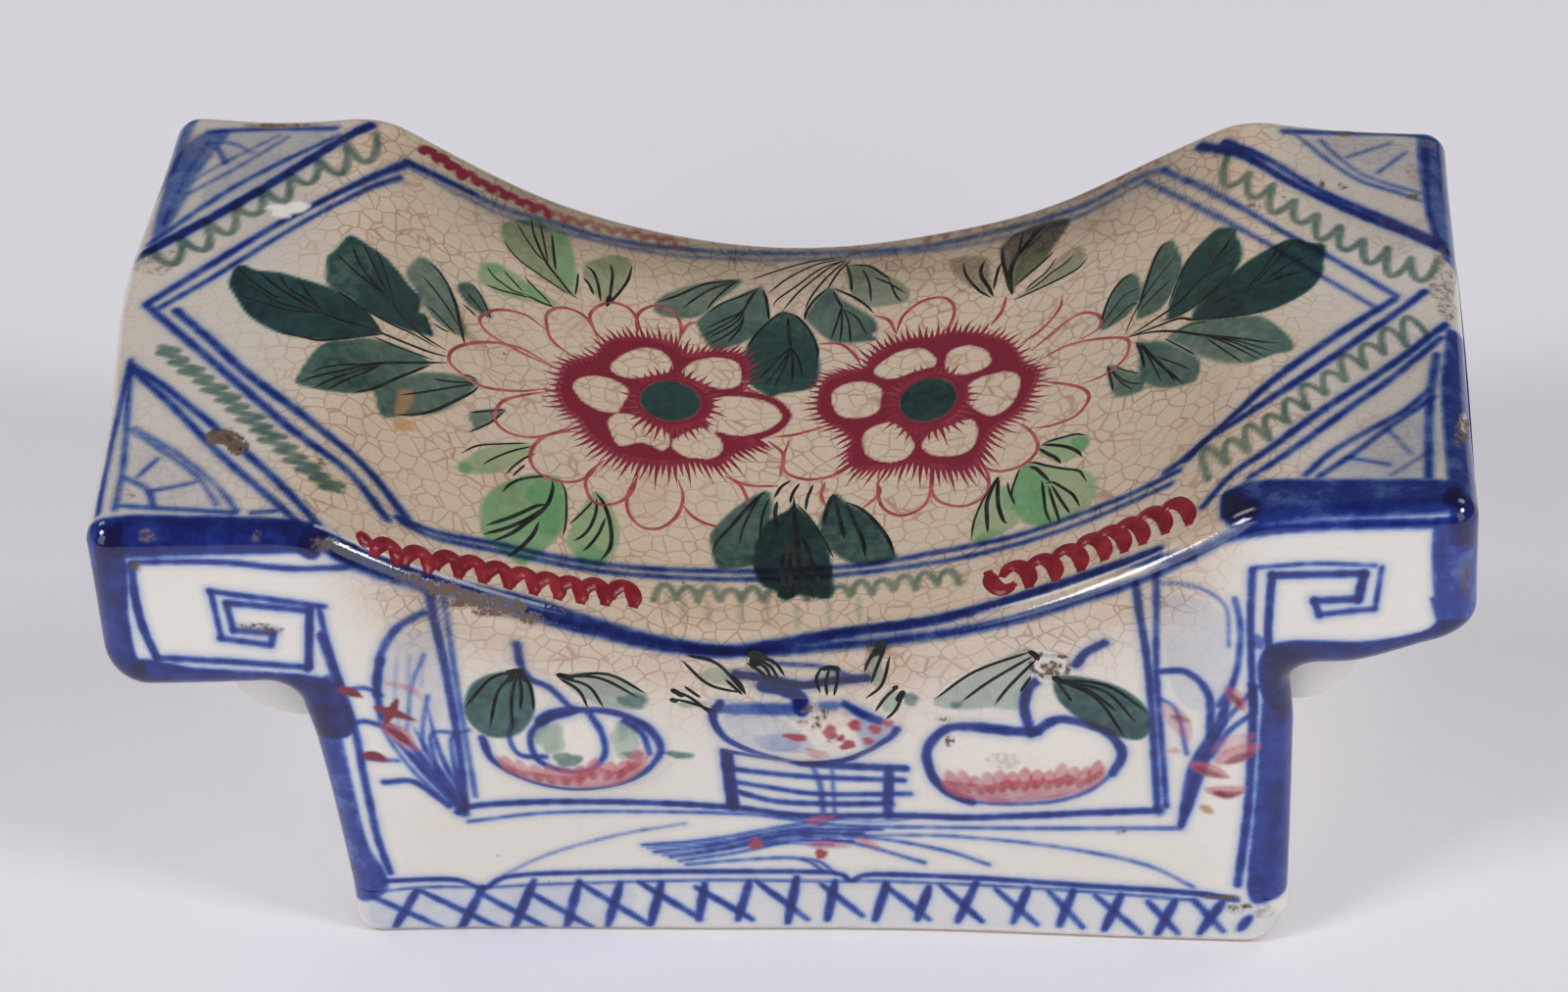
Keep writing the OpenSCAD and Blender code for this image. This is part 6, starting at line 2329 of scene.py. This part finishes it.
def base_floor():
    """The floor slab: its edge is the painted plinth, with a soft lower arris, and the vent pierces it."""
    plan, run_at, whole = floor_plan()
    profile = [(LIP_R, z, z) for z in even_steps(FLOOR_T, FOOT_EDGE_R, -FLOOR_STEP)]
    for t in np.linspace(0, QUARTER_TURN, ARRIS_POINTS)[1:]:
        inward, low = FOOT_EDGE_R * (1 - math.cos(t)), FOOT_EDGE_R * (1 - math.sin(t))
        profile.append((LIP_R - inward, low, FOOT_EDGE_R * (1 - t)))
    rows, cols = len(profile), len(plan)
    points = np.vstack([np.column_stack([plan[:, :2] + plan[:, 2:] * out, np.full(cols, z)])
                        for out, z, _ in profile])
    shown = ring_faces(0, rows, cols, flip=True)
    vent = ellipse((0, VENT_Y), (VENT_R, VENT_R), count=VENT_POINTS)
    count = len(points)
    points = np.vstack([points] + [np.column_stack([vent, np.full(len(vent), z)]) for z in (FLOOR_T, 0.0)])
    hidden = ring_faces(count, 2, len(vent))
    for first, hole, down in ((0, count, False), ((rows - 1) * cols, count + len(vent), True)):
        flat = np.vstack([points[first:first + cols, :2], vent])
        loops = closed_loop(0, cols) + closed_loop(cols, len(vent))
        made = delaunay_2d_cdt([Vector(p) for p in flat], loops, [], 0, CLOSE)
        for face in made[2]:
            middle = flat[list(face)].mean(axis=0)
            if np.hypot(middle[0], middle[1] - VENT_Y) < VENT_R * VENT_INSIDE:
                continue
            spun = tuple(first + i if i < cols else hole + i - cols for i in face)
            hidden.append(spun[::-1] if down else spun)
    inks = no_inks(len(points))
    extra = np.full((len(points) - count, 2), FAR_AWAY)
    front_x = run_at - (HALF_FOOT - LIP_R)
    back_x = front_x - whole / 2
    front_x = np.where(front_x > whole / 2, front_x - whole, front_x)
    for chart, x in ((front, front_x), (back, back_x)):
        x = np.where(np.abs(x) < HALF_FOOT + PLINTH_ROOM, x, FAR_AWAY)
        chart.paint(np.vstack([level_line(x, flat_z) for _, _, flat_z in profile] + [extra]), inks)
    uv = np.vstack([level_line(run_at, flat_z) for _, _, flat_z in profile] + [extra * 0])
    age = np.where(points[:, 2] < FOOT_EDGE_R, FOOT_AGE, PLINTH_AGE)
    piece("base_floor_skin", warp(points), shown, hidden, inks, age, uv, ("base_floor",))


# Reliefs: rings and spokes of their domes, and how far they stand off the panel and reach back into it
RELIEF_RINGS = 44
RELIEF_SPOKES = 150
RELIEF_PROUD = 0.02
RELIEF_FOOT = 0.6


def relief_piece(relief):
    """A relief's dome as a fan of rings, closed by a flat back inside the panel."""
    share = np.linspace(0, 1, RELIEF_RINGS + 1)[1:]
    turn = np.linspace(0, 2 * math.pi, RELIEF_SPOKES, endpoint=False)
    a = relief.middle[0] + relief.half[0] * np.outer(share, np.cos(turn)).ravel()
    b = relief.middle[1] + relief.half[1] * np.outer(share, np.sin(turn)).ravel()
    coords = np.vstack([relief.middle[None], np.stack([a, b], axis=-1)])
    height = relief.height(*coords.T)
    points = np.stack([coords[:, 0], -HALF_D - height - RELIEF_PROUD, coords[:, 1]], axis=-1)
    rim, base = len(points) - RELIEF_SPOKES, len(points)
    points = np.vstack([points, points[rim:] + [0, RELIEF_FOOT, 0]])
    shown = [(0, one, two) for one, two in closed_loop(1, RELIEF_SPOKES)]
    shown += ring_faces(1, RELIEF_RINGS, RELIEF_SPOKES, flip=True)
    hidden = ring_faces(rim, 2, RELIEF_SPOKES, flip=True)
    hidden.append(tuple(reversed(range(base, base + RELIEF_SPOKES))))
    inks = no_inks(len(points))
    front.paint(np.vstack([coords, np.full((RELIEF_SPOKES, 2), FAR_AWAY)]), inks)
    uv = np.vstack([coords, coords[-RELIEF_SPOKES:]])
    age = panel_age(*top_coords_below(*uv.T))
    piece(relief.node + "_skin", warp(points), shown, hidden, inks, age, uv, (relief.node,))


saddle_top()
panel("front_panel", -1, front)
panel("back_panel", 1, back)

# Lengths down a side at which its end wall and its soffit stop, and how far the end walls swell
side_edge = rounded_path(END_STEP)[0]
side_run = lengths_along(side_edge)
END_WALL_S = side_run[np.argmax(side_edge[:, 1] <= OVERHANG_Z + CLOSE)]
SOFFIT_S = side_run[np.argmax(side_edge[:, 0] <= HALF_TOP)]
END_SWELL = 0.8
for side_name, mirror in (("right", 1), ("left", -1)):
    swept_wall(side_name + "_end_wall", mirror, 0, END_WALL_S, END_SWELL)
    swept_wall(side_name + "_soffit", mirror, END_WALL_S, SOFFIT_S)
    swept_wall(side_name + "_base_wall", mirror, SOFFIT_S, side_run[-1])
    corner_roll(side_name + "_corner_roll", mirror)
base_floor()
for one_relief in reliefs:
    relief_piece(one_relief)

# Raised enamels: piece, lines, material, its colours where it is thick and thin, roughness and shine
ENAMEL_PIECES = (
    ("black_enamel_lines", black_lines, "black_enamel", (18, 20, 20), (42, 47, 45), 0.4, 0.2),
    ("crimson_enamel_hairs", crimson_lines, "crimson_enamel", (120, 28, 48), (138, 44, 60), 0.3, 0.5),
    ("rose_enamel_lines", rose_lines, "rose_enamel", (146, 52, 64), (176, 94, 96), 0.3, 0.5),
    ("red_enamel_scrolls", red_scrolls, "red_enamel", (116, 18, 34), (144, 36, 46), 0.14, 0.5),
)
for piece_name, lines, paint, thick, thin, roughness, shine in ENAMEL_PIECES:
    material = enamel(paint, linear(*thick), linear(*thin), roughness, shine)
    piece(piece_name, np.vstack(lines.points), lines.faces, material=material)

for node_name, node_object in frame["nodes"].items():
    if node_name.endswith("_coil"):
        node_object.data.materials.clear()
        node_object.data.materials.append(CLAY)


# Floor, light and camera, in metres

FLOOR_HALF = 3.0
FLOOR_NOISE = (1.5, 2)
FLOOR_ROUGHNESS = 0.6


def floor_material():
    n = Nodes("studio_floor")
    colour = n.mix(n.remap(n.noise(*FLOOR_NOISE), MIDDLE), linear(243, 241, 247), linear(240, 239, 246))
    n.surface(colour, FLOOR_ROUGHNESS)
    return n.material


floor_mesh = bpy.data.meshes.new("studio_floor")
floor_corners = [(FLOOR_HALF * x, FLOOR_HALF * y, 0) for x, y in ((-1, -1), (1, -1), (1, 1), (-1, 1))]
floor_mesh.from_pydata(floor_corners, [], [(0, 1, 2, 3)])
floor_mesh.materials.append(floor_material())
floor = bpy.data.objects.new("studio_floor", floor_mesh)
bpy.context.scene.collection.objects.link(floor)

AIM = Vector((0, 0, 0.06))
BACKDROP = Vector((0, 1.1, 0))

# Softboxes: name, place, width, height, power in watts and what they are aimed at
SOFTBOXES = (
    ("left_softbox", (-0.95, -0.55, 1.2), 0.4, 0.42, 8, AIM),
    ("right_softbox", (1.08, -0.52, 1.11), 0.34, 0.28, 7.2, AIM),
    ("left_front_softbox", (-1.35, -1.6, 0.95), 1.1, 1.5, 8.6, AIM),
    ("left_back_softbox", (-1.5, 1.0, 2.1), 0.9, 0.9, 9.8, BACKDROP),
    ("right_front_softbox", (1.35, -1.6, 0.95), 1.1, 1.5, 8.6, AIM),
    ("right_back_softbox", (1.5, 1.0, 2.1), 0.9, 0.9, 9.8, BACKDROP),
)
for light_name, place, width, height, power, aim in SOFTBOXES:
    light = bpy.data.lights.new(light_name, "AREA")
    light.shape = "RECTANGLE"
    light.size = width
    light.size_y = height
    light.energy = power
    softbox = bpy.data.objects.new(light_name, light)
    softbox.location = place
    softbox.rotation_euler = (aim - Vector(place)).to_track_quat("-Z", "Y").to_euler()
    bpy.context.scene.collection.objects.link(softbox)

WORLD_COLOUR = (0.97, 0.97, 1.0, 1)
WORLD_STRENGTH = 0.135
world = bpy.data.worlds.new("studio")
world.use_nodes = True
world.node_tree.nodes["Background"].inputs[0].default_value = WORLD_COLOUR
world.node_tree.nodes["Background"].inputs[1].default_value = WORLD_STRENGTH
bpy.context.scene.world = world

camera_data = bpy.data.cameras.new("camera")
camera_data.sensor_width = SENSOR_MM
camera_data.lens = FOCAL_PX / PHOTO_W * SENSOR_MM
camera = bpy.data.objects.new("camera", camera_data)
turn = Matrix((RIGHT, UP, -FORWARD)).transposed()
camera.matrix_world = Matrix.Translation(Vector(CAMERA_AT * MM)) @ turn.to_4x4()
bpy.context.scene.collection.objects.link(camera)
bpy.context.scene.camera = camera
bpy.context.scene.view_settings.view_transform = "Standard"
